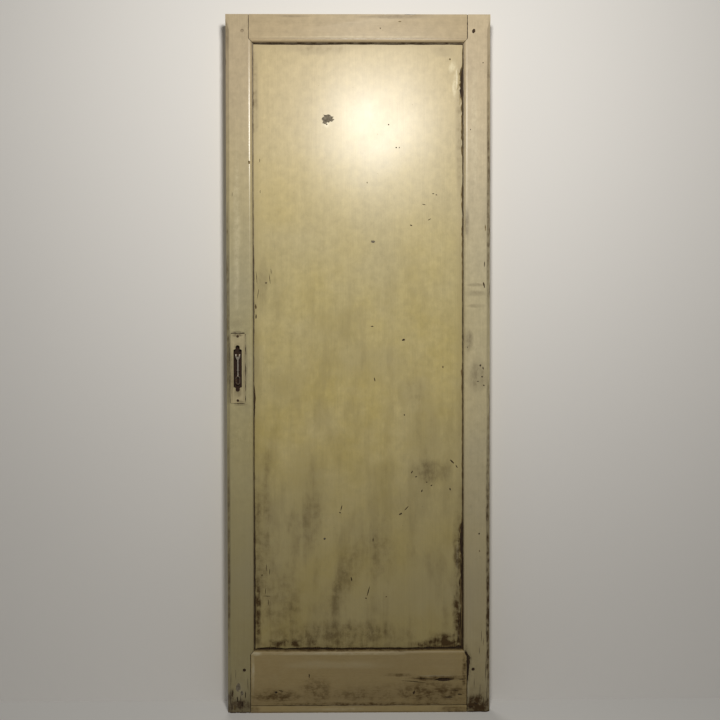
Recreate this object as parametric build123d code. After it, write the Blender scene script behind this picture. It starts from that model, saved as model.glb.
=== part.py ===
from build123d import *
import math
import os

# An old painted interior door leaf of the sliding kind: two stiles and two rails round one
# flat panel, mortised, wedged and pegged, with a cast flush pull let into each face of the
# left stile, a folding key in the front pull, and a hook lock between the two pulls.
# The origin is the middle of the leaf's bottom edge. X runs to the right and Y runs from the
# front face to the back face. Z runs up. Sizes are in mm and angles in degrees.

# Leaf
leaf_width = 760.0
leaf_height = 2015.0
leaf_thickness = 38.0
stile_flat = 66.0
top_rail_flat = 69.0
bottom_rail_flat = 170.0
shoulder_ease = 1.0

# Bevels along the stiles' outer edges, which run out to a point near the top
bevel_width = 10.0
bevel_depth = 6.0
bevel_stop_drop = 12.0
bevel_stop_length = 32.0

# Moulding stuck on the inner edges: a step, an ovolo and a foot
mould_width = 11.0
mould_step = 1.0
mould_foot = 1.5

# Panel and its groove
panel_thickness = 10.0
panel_groove_depth = 12.0
panel_side_clearance = 0.1
panel_edge_gap = 2.0

# Strip under the bottom rail, and its nails
strip_height = 21.0
strip_joint = 0.4
strip_ease = 1.5
nail_count = 3
nail_end_distance = 54.0
nail_radius = 1.6
nail_head_radius = 3.5
nail_head_depth = 1.2
nail_length = 55.0
nail_clearance = 0.05

# Tenons, haunches and wedges
tenon_thickness = 12.0
top_tenon_drop = 22.0
top_tenon_height = 44.0
lower_tenon_rise = 8.0
lower_tenon_height = 50.0
upper_tenon_rise = 76.0
upper_tenon_height = 62.0
haunch_length = 10.0
wedge_length = 48.0
wedge_butt = 5.0
wedge_tip = 1.0

# Pegs through the tenons
peg_radius = 4.75
peg_clearance = 0.05
peg_inset = 48.0
peg_recess = 2.0
peg_chamfer = 0.6
top_peg_drop = 47.5
bottom_peg_rise = 125.0

# Flush pulls
pull_height = 1000.0
backset = 32.0
plate_width = 42.0
plate_length = 200.0
plate_thickness = 2.5
plate_corner = 2.0
plate_clearance = 0.15
cup_width = 24.0
cup_length = 134.0
cup_shoulder = 12.0
cup_corner = 3.0
cup_lobe_radius = 6.0
cup_lobe_blend = 2.5
cup_wall = 1.8
cup_floor_bevel = 1.6
cup_clearance = 0.3
bead_width = 1.8
bead_height = 0.6
pull_screw_inset = 7.5

# Wood screws
screw_head_radius = 3.8
screw_head_depth = 2.2
screw_shank_radius = 1.75
screw_point = 5.0
screw_slot_width = 1.0
screw_slot_depth = 1.0
screw_clearance = 0.1
pull_screw_length = 18.0
forend_screw_length = 22.0

# Hook lock
lock_thickness = 15.0
lock_depth = 50.0
lock_wall = 2.5
lock_side_clearance = 0.2
lock_mortise_clearance = 1.0
lock_above_key = 20.0
lock_below_pivot = 36.0
forend_thickness = 3.0
forend_width = 20.0
forend_length = 150.0
forend_clearance = 0.1
forend_screw_inset = 10.0
lug_width = 9.0
lug_fit = 0.05
keyhole_radius = 3.75
keyhole_slot_width = 3.8
keyhole_slot_drop = 12.0
key_rise = 38.0
pivot_drop = 28.0
pivot_behind_forend = 12.0
hook_outer_radius = 28.0
hook_band = 9.0
hook_lead_angle = 113.0
hook_span = 58.0
hook_turn = 70.0
hook_slot_clearance = 0.5
hub_radius = 8.0
spoke_width = 9.0
tail_length = 23.0
tail_width = 5.0
stud_radius = 3.0
stud_clearance = 0.05
stud_flange_radius = 6.0
washer_height = 2.0
washer_thickness = 0.8
post_radius = 3.8
post_inset = 9.0
cover_screw_radius = 1.5
cover_screw_head_radius = 2.8
cover_screw_clearance = 0.05

# Folding key
shank_radius = 3.25
shank_tip_short = 0.6
bit_reach = 11.0
bit_thickness = 2.6
bit_end_clearance = 1.6
bit_ward_depth = 3.5
bit_ward_width = 1.6
tongue_width = 6.0
prong_gap = 0.2
prong_width = 3.6
knuckle_radius = 4.0
knuckle_floor_clearance = 0.5
tongue_floor_clearance = 0.2
crotch_clearance = 0.6
yoke_depth = 13.0
key_pin_radius = 1.5
key_pin_clearance = 0.05
bow_length = 85.0
stem_radius = 2.6
neck_radius = 1.8
collar_radius = 3.4
collar_height = 3.0
collar_drop = 42.0
ring_length = 25.0
ring_width = 14.0
ring_band = 2.8
ring_thickness = 3.6
ring_bevel = 0.9

# Places that follow from the sizes
half_width = leaf_width / 2
half_thickness = leaf_thickness / 2
front_face = -half_thickness
shoulder_x = half_width - stile_flat
opening_x = shoulder_x - mould_width
opening_top = leaf_height - top_rail_flat - mould_width
opening_bottom = bottom_rail_flat + mould_width
ovolo_radius = mould_width - mould_foot
mould_depth = mould_step + ovolo_radius
groove_width = panel_thickness + 2 * panel_side_clearance
rail_bottom = strip_height + strip_joint
tenon_half = tenon_thickness / 2
peg_x = half_width - peg_inset

lock_half = lock_thickness / 2
lock_inner_half = lock_half - lock_wall
pull_x = -half_width + backset
cup_depth = half_thickness - lock_half - lock_side_clearance
cup_floor_y = front_face + cup_depth - cup_wall
pull_screw_offset = plate_length / 2 - pull_screw_inset
key_z = pull_height + key_rise

forend_back = -half_width + forend_thickness
pivot_x = forend_back + pivot_behind_forend
pivot_z = key_z - pivot_drop
lock_top = key_z + lock_above_key
lock_bottom = pivot_z - lock_below_pivot
lock_mid = (lock_top + lock_bottom) / 2
lock_right = forend_back + lock_depth
post_x = lock_right - post_inset
forend_screw_offset = forend_length / 2 - forend_screw_inset
hook_half = lock_inner_half - washer_height

key_pin_y = cup_floor_y - knuckle_floor_clearance - knuckle_radius
prong_start = tongue_width / 2 + prong_gap
yoke_half_width = prong_start + prong_width

# Plain shapes


def block(x0, x1, y0, y1, z0, z1):
    """A box given by its limits."""
    middle = Pos((x0 + x1) / 2, (y0 + y1) / 2, (z0 + z1) / 2)
    return middle * Box(abs(x1 - x0), abs(y1 - y0), abs(z1 - z0))


def both_sides(shape):
    """A shape and its mirror image on the other side of the leaf's middle."""
    return shape + mirror(shape, about=Plane.YZ)


def rod_y(x, z, radius, y0, y1):
    """A round bar along Y."""
    return Pos(x, (y0 + y1) / 2, z) * Rot(90, 0, 0) * Cylinder(radius, y1 - y0)


def rod_x(y, z, radius, x0, x1):
    """A round bar along X."""
    return Pos((x0 + x1) / 2, y, z) * Rot(0, 90, 0) * Cylinder(radius, x1 - x0)


def on_front(sketch, y0, y1):
    """A sketch drawn as the front shows it, X right and Y up, made solid between two depths."""
    plane = Plane(origin=(0, max(y0, y1), 0), x_dir=(1, 0, 0), z_dir=(0, -1, 0))
    return extrude(plane * sketch, abs(y1 - y0), dir=plane.z_dir)


def wood_screw(length, grow=0.0, slotted=True):
    """A countersunk wood screw along Y, its head at the origin. With a growth it is the screw's hole."""
    head = screw_head_radius + grow
    shank = screw_shank_radius + grow
    outline = Polyline(
        (0, 0), (head, 0), (shank, screw_head_depth), (shank, length - screw_point),
        (0, length + grow), (0, 0),
    )
    screw = revolve(make_face(outline), Axis.Y)
    if slotted:
        half = screw_slot_width / 2
        screw = screw - block(-head, head, 0, screw_slot_depth, -half, half)
    return screw


# Joinery


def sticking(length):
    """The moulded inner edge of a stile or rail, mitred at both ends. X runs away from the opening."""
    step_y = half_thickness - mould_step
    foot_y = half_thickness - mould_depth
    outline = Curve() + [
        CenterArc((mould_width, foot_y), ovolo_radius, 90, 90),
        Line((mould_foot, foot_y), (0, foot_y)),
        Line((0, foot_y), (0, -foot_y)),
        Line((0, -foot_y), (mould_foot, -foot_y)),
        CenterArc((mould_width, -foot_y), ovolo_radius, 180, 90),
        Line((mould_width, -step_y), (mould_width, step_y)),
    ]
    half = length / 2
    bar = extrude(make_face(outline), half + mould_width, both=True)
    mitred = Polygon(
        (0, -half), (0, half), (mould_width, half + mould_width),
        (mould_width, -half - mould_width), align=None,
    )
    return bar & extrude(Plane.XZ * mitred, half_thickness, both=True)


def panel_groove():
    """The room that the panel's edges run in."""
    side = opening_x + panel_groove_depth
    return block(
        -side, side, -groove_width / 2, groove_width / 2,
        opening_bottom - panel_groove_depth, opening_top + panel_groove_depth,
    )


def top_tenon():
    """Tenon and haunch of the top rail's right end."""
    top = leaf_height - top_tenon_drop
    haunch_end = shoulder_x + haunch_length
    tenon = block(shoulder_x, half_width, -tenon_half, tenon_half, top - top_tenon_height, top)
    return tenon + block(shoulder_x, haunch_end, -tenon_half, tenon_half, top, leaf_height)


def bottom_tenon_spans():
    """Lower and upper limits of the bottom rail's two tenons."""
    low = rail_bottom + lower_tenon_rise
    high = rail_bottom + upper_tenon_rise
    return [(low, low + lower_tenon_height), (high, high + upper_tenon_height)]


def bottom_tenon():
    """The double tenon of the bottom rail's right end, with the haunch between the two."""
    lower, upper = bottom_tenon_spans()
    haunch_end = shoulder_x + haunch_length
    tenons = block(shoulder_x, half_width, -tenon_half, tenon_half, *lower)
    tenons = tenons + block(shoulder_x, half_width, -tenon_half, tenon_half, *upper)
    return tenons + block(shoulder_x, haunch_end, -tenon_half, tenon_half, lower[1], upper[0])


def wedge(edge_z, side):
    """A wedge driven in from the right edge, above (side 1) or below (side -1) a tenon's edge."""
    inner = half_width - wedge_length
    outline = Polygon(
        (half_width, edge_z), (half_width, edge_z + side * wedge_butt),
        (inner, edge_z + side * wedge_tip), (inner, edge_z), align=None,
    )
    return on_front(outline, -tenon_half, tenon_half)


def wedges_right():
    """The six wedges in the right stile, by name."""
    top = leaf_height - top_tenon_drop
    wedges = {
        "top_right_wedge_upper": wedge(top, 1),
        "top_right_wedge_lower": wedge(top - top_tenon_height, -1),
    }
    edges = [(z, side) for low, high in bottom_tenon_spans() for z, side in ((low, -1), (high, 1))]
    for n, (z, side) in enumerate(edges, start=1):
        wedges[f"bottom_right_wedge_{n}"] = wedge(z, side)
    return wedges


def peg_bores():
    """The bores of the four pegs, right through the leaf."""
    radius = peg_radius + peg_clearance
    low, high = [
        rod_y(peg_x, z, radius, -half_thickness, half_thickness)
        for z in (bottom_peg_rise, leaf_height - top_peg_drop)
    ]
    return both_sides(low + high)


def peg(x, z):
    """A peg, flush at the back and a little below the surface at the front."""
    bar = rod_y(x, z, peg_radius, front_face + peg_recess, half_thickness)
    return chamfer(bar.edges().group_by(Axis.Y)[0], peg_chamfer)


def edge_bevel():
    """The wood that the bevel takes off the right stile's outer front edge, up to its stop."""
    stop_end = leaf_height - bevel_stop_drop
    stop_start = stop_end - bevel_stop_length
    section = Polygon(
        (half_width, front_face), (half_width, front_face + bevel_depth),
        (half_width - bevel_width, front_face), align=None,
    )
    run = extrude(section, stop_start, dir=(0, 0, 1))
    return run + loft([Pos(0, 0, stop_start) * section, Vertex(half_width, front_face, stop_end)])


def right_stile():
    """The right stile, bevelled outside, moulded along the opening and cut for the rails."""
    body = block(shoulder_x, half_width, -half_thickness, half_thickness, 0, leaf_height)
    bevel = edge_bevel()
    body = body - bevel - mirror(bevel, about=Plane.XZ)
    middle = Pos(opening_x, 0, (opening_bottom + opening_top) / 2)
    body = body + middle * sticking(opening_top - opening_bottom)
    body = body - panel_groove() - top_tenon() - bottom_tenon()
    for piece in wedges_right().values():
        body = body - piece
    return body - peg_bores()


def left_stile():
    """The left stile: the right one's mirror image, cut for the lock and the two pulls."""
    body = mirror(right_stile(), about=Plane.YZ)
    front_room = pull_room()
    return body - front_room - mirror(front_room, about=Plane.XZ) - lock_mortise()


def eased_shoulders(body):
    """A rail's plain body with its shoulders' long corners eased, so that the joint shows as a line."""
    ends = body.edges().filter_by(Axis.Z)
    return chamfer(ends, shoulder_ease)


def top_rail():
    """The top rail, with a haunched tenon at each end."""
    body = block(
        -shoulder_x, shoulder_x, -half_thickness, half_thickness,
        opening_top + mould_width, leaf_height,
    )
    body = eased_shoulders(body)
    edge = Plane(origin=(0, 0, opening_top), x_dir=(0, 0, 1), z_dir=(1, 0, 0))
    body = body + edge.location * sticking(2 * opening_x)
    return body - panel_groove() + both_sides(top_tenon()) - peg_bores()


def bottom_rail():
    """The bottom rail, with a double tenon at each end."""
    body = block(
        -shoulder_x, shoulder_x, -half_thickness, half_thickness,
        rail_bottom, opening_bottom - mould_width,
    )
    body = eased_shoulders(body)
    edge = Plane(origin=(0, 0, opening_bottom), x_dir=(0, 0, -1), z_dir=(1, 0, 0))
    body = body + edge.location * sticking(2 * opening_x)
    body = body - panel_groove() + both_sides(bottom_tenon()) - peg_bores()
    for x in nail_places():
        body = body - nail(x, nail_clearance)
    return body


def panel():
    """The flat panel, with room at its edges to swell."""
    reach = panel_groove_depth - panel_edge_gap
    side = opening_x + reach
    return block(
        -side, side, -panel_thickness / 2, panel_thickness / 2,
        opening_bottom - reach, opening_top + reach,
    )


def nail_places():
    """Where the strip's nails stand along X, spaced evenly between its two ends."""
    first = -shoulder_x + nail_end_distance
    spacing = -2 * first / (nail_count - 1)
    return [first + n * spacing for n in range(nail_count)]


def nail(x, grow=0.0):
    """A nail up through the strip into the bottom rail. With a growth it is the nail's hole."""
    head = Pos(x, 0, nail_head_depth / 2) * Cylinder(nail_head_radius + grow, nail_head_depth)
    shank = Pos(x, 0, nail_length / 2) * Cylinder(nail_radius + grow, nail_length)
    return head + shank


def rail_strip():
    """The strip that makes up the bottom rail's depth, eased along its top edges."""
    body = block(-shoulder_x, shoulder_x, -half_thickness, half_thickness, 0, strip_height)
    upper = body.edges().filter_by(Axis.X).group_by(Axis.Z)[-1]
    body = fillet(upper, strip_ease)
    for x in nail_places():
        body = body - nail(x, nail_clearance)
    return body


# Flush pulls


def cup_outline(grow=0.0):
    """The cup's mouth as the front shows it: a long slot whose ends step in to a small lobe."""
    body_length = cup_length - 2 * cup_shoulder
    outline = RectangleRounded(cup_width, body_length, cup_corner)
    outline = outline + SlotOverall(cup_length, 2 * cup_lobe_radius, rotation=90)
    shoulders = [
        v for v in outline.vertices()
        if math.isclose(abs(v.X), cup_lobe_radius, abs_tol=0.01)
        and math.isclose(abs(v.Y), body_length / 2, abs_tol=0.01)
    ]
    flat = cup_width / 2 - cup_corner - cup_lobe_radius
    outline = fillet(shoulders, min(cup_lobe_blend, 0.9 * flat))
    if grow > 0:
        outline = offset(outline, amount=grow)
    return Pos(pull_x, pull_height) * outline


def plate_outline(grow=0.0):
    """The pull's plate as the front shows it."""
    plate = RectangleRounded(plate_width + 2 * grow, plate_length + 2 * grow, plate_corner)
    return Pos(pull_x, pull_height) * plate


def keyhole_outline():
    """A round hole with a slot below it."""
    slot = Pos(0, -keyhole_slot_drop / 2) * Rectangle(keyhole_slot_width, keyhole_slot_drop)
    return Pos(pull_x, key_z) * (Circle(keyhole_radius) + slot)


def pull_screws(grow=0.0, slotted=True):
    """The front pull's lower and upper screws. With a growth they are the screws' holes."""
    screw = wood_screw(pull_screw_length, grow, slotted)
    heights = (pull_height - pull_screw_offset, pull_height + pull_screw_offset)
    return [Pos(pull_x, front_face, z) * screw for z in heights]


def pull_room():
    """What the stile loses to the front pull: the plate's rebate, the cup's pocket and two pilots."""
    spare = 2 * (cup_wall + cup_clearance)
    pocket = RectangleRounded(cup_width + spare, cup_length + spare, cup_corner)
    pocket_end = -lock_half - lock_side_clearance
    room = on_front(plate_outline(plate_clearance), front_face, front_face + plate_thickness)
    room = room + on_front(Pos(pull_x, pull_height) * pocket, front_face, pocket_end)
    for pilot in pull_screws(screw_clearance, False):
        room = room + pilot
    return room


def front_pull():
    """The front pull, cast in one: plate, cup, a bead round the cup's mouth, and the holes."""
    mouth_y = front_face - bead_height
    body = on_front(plate_outline(), front_face, front_face + plate_thickness)
    body = body + on_front(cup_outline(cup_wall), front_face, front_face + cup_depth)
    bead = on_front(cup_outline(bead_width), mouth_y, front_face)
    body = body + chamfer(bead.edges().group_by(Axis.Y)[0], 0.9 * bead_height)
    hollow = on_front(cup_outline(), mouth_y, cup_floor_y)
    body = body - chamfer(hollow.edges().group_by(Axis.Y)[-1], cup_floor_bevel)
    body = body - on_front(keyhole_outline(), cup_floor_y, front_face + cup_depth)
    for hole in pull_screws(screw_clearance, False):
        body = body - hole
    return body


# Hook lock


def forend_screw(end, grow=0.0, slotted=True):
    """The forend's upper (end 1) or lower (end -1) screw, along X. With a growth it is its hole."""
    place = Pos(-half_width, 0, lock_mid + end * forend_screw_offset)
    return place * Rot(0, 0, -90) * wood_screw(forend_screw_length, grow, slotted)


def forend_blank(grow=0.0):
    """The forend's plain plate. With a growth it is the rebate that takes it."""
    half = forend_length / 2 + grow
    side = forend_width / 2 + grow
    return block(-half_width, forend_back, -side, side, lock_mid - half, lock_mid + half)


def lock_mortise():
    """The room for the lock's case, its forend and the forend's screws, cut in from the left edge."""
    side = lock_half + lock_side_clearance
    room = block(
        -half_width, lock_right + lock_mortise_clearance, -side, side,
        lock_bottom - lock_mortise_clearance, lock_top + lock_mortise_clearance,
    )
    room = room + forend_blank(forend_clearance)
    for end in (-1, 1):
        room = room + forend_screw(end, screw_clearance, False)
    return room


def lug(end, grow=0.0):
    """The case's upper or lower lug, riveted in the forend. With a growth it is the lug's hole."""
    half = lug_width / 2 + grow
    outer = lock_top if end > 0 else lock_bottom
    inner = outer - end * lock_wall
    low, high = sorted((outer, inner))
    return block(-half_width, forend_back, -half, half, low - grow, high + grow)


def forend():
    """The lock's plate on the leaf's edge, with the slot that the hook swings through."""
    drop = math.sqrt(hook_outer_radius**2 - pivot_behind_forend**2) + hook_slot_clearance
    rise = hook_band / 2 + hook_slot_clearance
    half = hook_half + hook_slot_clearance
    body = forend_blank()
    body = body - block(-half_width, forend_back, -half, half, pivot_z - drop, pivot_z + rise)
    for end in (-1, 1):
        body = body - lug(end, lug_fit) - forend_screw(end, screw_clearance, False)
    return body


def post_heights():
    """Heights of the two posts that the cover is screwed to."""
    return (lock_bottom + post_inset, lock_top - post_inset)


def lock_case():
    """The lock's case: floor, walls, two posts, and the lugs that hold the forend."""
    hole = cover_screw_radius + cover_screw_clearance
    body = block(forend_back, lock_right, -lock_half, lock_inner_half, lock_bottom, lock_top)
    body = body - block(
        forend_back, lock_right - lock_wall, -lock_inner_half, lock_inner_half,
        lock_bottom + lock_wall, lock_top - lock_wall,
    )
    for z in post_heights():
        body = body + rod_y(post_x, z, post_radius, -lock_inner_half, lock_inner_half)
        body = body - rod_y(post_x, z, hole, -lock_inner_half, lock_inner_half)
    body = body + lug(-1) + lug(1)
    body = body - on_front(keyhole_outline(), -lock_half, -lock_inner_half)
    return body - rod_y(pivot_x, pivot_z, stud_radius, -lock_half, -lock_inner_half)


def cover_screw(z, grow=0.0, slotted=True):
    """A countersunk machine screw of the cover. With a growth it is the screw's hole."""
    head = cover_screw_head_radius + grow
    shank = cover_screw_radius + grow
    outline = Polyline(
        (0, lock_half), (head, lock_half), (shank, lock_inner_half),
        (shank, -lock_inner_half + post_radius), (0, -lock_inner_half + post_radius), (0, lock_half),
    )
    screw = revolve(make_face(outline), Axis.Y)
    if slotted:
        half = screw_slot_width / 2
        screw = screw - block(-head, head, lock_half - screw_slot_depth, lock_half, -half, half)
    return Pos(post_x, 0, z) * screw


def lock_cover():
    """The flat plate that closes the case at the back."""
    body = block(forend_back, lock_right, lock_inner_half, lock_half, lock_bottom, lock_top)
    body = body - on_front(keyhole_outline(), lock_inner_half, lock_half)
    for z in post_heights():
        body = body - cover_screw(z, cover_screw_clearance, False)
    return body


def sector(start, end):
    """A wedge of a circle wide enough for the hook, between two angles less than half a turn apart."""
    reach = 3 * hook_outer_radius
    rim = [
        (reach * math.cos(math.radians(a)), reach * math.sin(math.radians(a)))
        for a in (start, (start + end) / 2, end)
    ]
    return Polygon((0, 0), *rim, align=None)


def hook_bolt():
    """The hook: a round band that swings out of the forend, with its spoke, hub and tail."""
    inner = hook_outer_radius - hook_band
    middle = (inner + hook_outer_radius) / 2
    trail_angle = hook_lead_angle - hook_span
    band = (Circle(hook_outer_radius) - Circle(inner)) & sector(-hook_lead_angle, -trail_angle)
    spoke_angle = trail_angle + math.degrees(spoke_width / 2 / middle)
    spoke = Rot(0, 0, -spoke_angle) * Pos(middle / 2, 0) * Rectangle(middle, spoke_width)
    to_key = math.degrees(math.atan2(key_z - pivot_z, pull_x - pivot_x))
    tail = Pos(tail_length / 2, 0) * SlotOverall(tail_length + tail_width, tail_width)
    tail = Rot(0, 0, to_key + hook_turn / 2) * tail
    outline = band + spoke + tail + Circle(hub_radius) - Circle(stud_radius + stud_clearance)
    return on_front(Pos(pivot_x, pivot_z) * outline, -hook_half, hook_half)


def hook_stud():
    """The stud that the hook turns on, riveted in the case's floor, with a flange under the hook."""
    body = rod_y(pivot_x, pivot_z, stud_radius, -lock_half, lock_inner_half)
    return body + rod_y(pivot_x, pivot_z, stud_flange_radius, -lock_inner_half, -hook_half)


def spring_washer():
    """A dished washer between the hook and the cover, whose friction keeps the hook where it is."""
    bore = stud_radius + stud_clearance
    outline = Polygon(
        (bore, lock_inner_half - washer_thickness), (bore, lock_inner_half),
        (hub_radius, hook_half + washer_thickness), (hub_radius, hook_half), align=None,
    )
    return Pos(pivot_x, 0, pivot_z) * revolve(outline, Axis.Y)


# Folding key


def key_shank():
    """The key's shank through the lock, with its bit turned to the left and an eyed tongue in front."""
    tip = lock_half - shank_tip_short
    shoulder = cup_floor_y - tongue_floor_clearance
    half = tongue_width / 2
    body = rod_y(pull_x, key_z, shank_radius, shoulder, tip)
    tongue = rod_x(key_pin_y, key_z, knuckle_radius, pull_x - half, pull_x + half)
    tongue = tongue + block(
        pull_x - half, pull_x + half, key_pin_y, shoulder,
        key_z - knuckle_radius, key_z + knuckle_radius,
    )
    eye = key_pin_radius + key_pin_clearance
    body = body + tongue - rod_x(key_pin_y, key_z, eye, pull_x - half, pull_x + half)
    bit_half = lock_inner_half - bit_end_clearance
    bit_end = pull_x - bit_reach
    bit = block(
        bit_end, pull_x, -bit_half, bit_half,
        key_z - bit_thickness / 2, key_z + bit_thickness / 2,
    )
    ward = block(
        bit_end, bit_end + bit_ward_depth, -bit_ward_width / 2, bit_ward_width / 2,
        key_z - bit_thickness / 2, key_z + bit_thickness / 2,
    )
    return body + (bit - ward)


def yoke():
    """The bow's yoke about the pin: two prongs that narrow to the stem, hanging down."""
    crotch = knuckle_radius + crotch_clearance
    front = Polygon(
        (-yoke_half_width, knuckle_radius), (yoke_half_width, knuckle_radius),
        (yoke_half_width, -crotch), (stem_radius, -yoke_depth),
        (-stem_radius, -yoke_depth), (-yoke_half_width, -crotch), align=None,
    )
    taper = Polygon(
        (-knuckle_radius, 0), (knuckle_radius, 0), (stem_radius, -yoke_depth),
        (-stem_radius, -yoke_depth), align=None,
    )
    side = Circle(knuckle_radius) + taper
    body = on_front(front, -knuckle_radius, knuckle_radius)
    body = body & extrude(Plane.YZ * side, yoke_half_width, both=True)
    gap = block(
        -prong_start, prong_start, -knuckle_radius, knuckle_radius, -crotch, knuckle_radius
    )
    return body - gap - rod_x(0, 0, key_pin_radius, -yoke_half_width, yoke_half_width)


def bow_ring():
    """The oval finger ring at the end of the bow, about its own middle."""
    oval = SlotOverall(ring_length, ring_width, rotation=90)
    hole = SlotOverall(ring_length - 2 * ring_band, ring_width - 2 * ring_band, rotation=90)
    body = on_front(oval - hole, -ring_thickness / 2, ring_thickness / 2)
    faces = body.faces().filter_by(Axis.Y)
    return chamfer(faces.edges(), ring_bevel)


def key_bow():
    """The bow as it hangs from the pin: yoke, turned stem with a collar, and the ring."""
    ring_z = -bow_length + ring_length / 2
    stem_end = -collar_drop
    neck_end = ring_z + ring_length / 2 - ring_band / 2
    turned = Polyline(
        (0, -yoke_depth), (stem_radius, -yoke_depth), (stem_radius, stem_end),
        (collar_radius, stem_end), (collar_radius, stem_end - collar_height),
        (neck_radius, stem_end - collar_height), (neck_radius, neck_end), (0, neck_end),
        (0, -yoke_depth),
    )
    stem = revolve(Plane.XZ * make_face(turned), Axis.Z)
    body = yoke() + stem + Pos(0, 0, ring_z) * bow_ring()
    return Pos(pull_x, key_pin_y, key_z) * body


def key_pin():
    """The pin of the folding joint, peened flush with the prongs."""
    return rod_x(key_pin_y, key_z, key_pin_radius, pull_x - yoke_half_width, pull_x + yoke_half_width)


# All pieces by name


def pieces():
    """Every piece of the door with its node's name."""
    parts = {
        "left_stile": left_stile(),
        "right_stile": right_stile(),
        "top_rail": top_rail(),
        "bottom_rail": bottom_rail(),
        "rail_strip": rail_strip(),
        "panel": panel(),
    }
    for name, x in (("left", -peg_x), ("right", peg_x)):
        parts[f"peg_top_{name}"] = peg(x, leaf_height - top_peg_drop)
        parts[f"peg_bottom_{name}"] = peg(x, bottom_peg_rise)
    for name, piece in wedges_right().items():
        parts[name] = piece
        parts[name.replace("right", "left")] = mirror(piece, about=Plane.YZ)
    for n, x in enumerate(nail_places(), start=1):
        parts[f"strip_nail_{n}"] = nail(x)
    pull = front_pull()
    parts["front_pull"] = pull
    parts["back_pull"] = mirror(pull, about=Plane.XZ)
    for name, screw in zip(("lower", "upper"), pull_screws()):
        parts[f"front_pull_screw_{name}"] = screw
        parts[f"back_pull_screw_{name}"] = mirror(screw, about=Plane.XZ)
    parts["lock_case"] = lock_case()
    parts["lock_cover"] = lock_cover()
    parts["lock_forend"] = forend()
    for name, end, z in zip(("lower", "upper"), (-1, 1), post_heights()):
        parts[f"forend_screw_{name}"] = forend_screw(end)
        parts[f"cover_screw_{name}"] = cover_screw(z)
    parts["hook_bolt"] = hook_bolt()
    parts["hook_stud"] = hook_stud()
    parts["spring_washer"] = spring_washer()
    parts["key_shank"] = key_shank()
    parts["key_bow"] = key_bow()
    parts["key_pin"] = key_pin()
    return parts


os.makedirs("parts", exist_ok=True)
for node, shape in pieces().items():
    export_step(shape, f"parts/{node}.step")
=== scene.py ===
"""Looks of an old sliding-door leaf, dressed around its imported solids.

The leaf is pine under yellowed oil enamel. It faces -Y and stands on the floor at Z = 0. Lengths are in
metres, except those whose names end in _mm and the lists of flaws, which are written in millimetres.
"""

import logging
import math
import random
from dataclasses import dataclass
from enum import Enum
from typing import Any, Callable, Iterable, Optional

import bpy
from mathutils import Matrix, Vector


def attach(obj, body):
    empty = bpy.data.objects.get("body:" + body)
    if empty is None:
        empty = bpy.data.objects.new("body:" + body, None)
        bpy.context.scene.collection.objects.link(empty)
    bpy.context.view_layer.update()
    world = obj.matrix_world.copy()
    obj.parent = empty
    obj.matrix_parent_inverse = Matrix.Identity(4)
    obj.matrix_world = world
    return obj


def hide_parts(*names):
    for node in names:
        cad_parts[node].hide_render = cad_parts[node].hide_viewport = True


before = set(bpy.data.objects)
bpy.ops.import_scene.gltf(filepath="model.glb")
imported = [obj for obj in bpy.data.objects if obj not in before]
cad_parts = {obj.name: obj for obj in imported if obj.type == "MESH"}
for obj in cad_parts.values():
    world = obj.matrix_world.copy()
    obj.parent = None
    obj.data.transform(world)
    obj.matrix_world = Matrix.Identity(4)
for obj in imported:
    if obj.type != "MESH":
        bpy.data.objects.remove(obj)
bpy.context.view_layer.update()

MM = 0.001
OVERCUT = 0.002  # how far a blade stands out of the face that it cuts
SMALLEST_GAP = 1e-5  # corners closer than this are one corner
TEAR_START_MM = 1.5  # how far outside the edge a torn loss starts
NARROWEST_TEAR_MM = 0.15
STICKING_FOOT = 0.0092  # depth of the moulding's foot, from the middle of the leaf
# Middle and half size of what the moulding rings, across and upwards.
STICKING_SPAN = (("X", 0.0, 0.326), ("Z", 1.058, 0.905))
log = logging.getLogger("door_leaf")


def linear(code: str) -> tuple[float, float, float, float]:
    """Turn an sRGB hex colour into the linear light that a shader takes.

    Args:
        code: Six hex digits after a hash sign.

    Returns:
        Red, green, blue and an alpha of 1.
    """
    parts = [int(code[place : place + 2], 16) / 255 for place in (1, 3, 5)]
    bright = [part / 12.92 if part <= 0.04045 else ((part + 0.055) / 1.055) ** 2.4 for part in parts]
    return (*bright, 1.0)


def node(
    tree: bpy.types.NodeTree,
    kind: str,
    settings: Optional[dict[Any, Any]] = None,
    links: Optional[dict[Any, Any]] = None,
) -> bpy.types.Node:
    """Add a shader node, set it up and wire its inputs.

    Args:
        tree: Node tree that gets the node.
        kind: Kind of node, without the ShaderNode that starts its full name.
        settings: Values for the node's own settings and for its unlinked inputs.
        links: For an input's name or number, the node or output that feeds it.

    Returns:
        The new node.
    """
    made = tree.nodes.new("ShaderNode" + kind)
    for key, value in (settings or {}).items():
        if isinstance(key, str) and hasattr(made, key):
            setattr(made, key, value)
        else:
            made.inputs[key].default_value = value
    for key, source in (links or {}).items():
        output = source.outputs[0] if isinstance(source, bpy.types.Node) else source
        tree.links.new(output, made.inputs[key])
    return made


def select_only(piece: bpy.types.Object) -> None:
    """Leave one piece alone selected and active.

    Args:
        piece: The piece.
    """
    bpy.ops.object.select_all(action="DESELECT")
    piece.select_set(True)
    bpy.context.view_layer.objects.active = piece


def blank_material(name: str) -> tuple[bpy.types.Material, bpy.types.NodeTree]:
    """Start a material with an empty node tree.

    Args:
        name: What the finish is called.

    Returns:
        The material and its tree.
    """
    material = bpy.data.materials.new(name)
    material.use_nodes = True
    material.node_tree.nodes.clear()
    return material, material.node_tree


@dataclass(frozen=True)
class Patch:
    """A soft patch in the enamel, in millimetres and degrees on the leaf's front; it darkens with grime and painted
    shade, or lightens with worn-clean paint and painted highlights.
    """

    x: float
    z: float
    half_width: float
    half_height: float
    strength: float = 0.5
    tilt: float = 0.0


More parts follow.
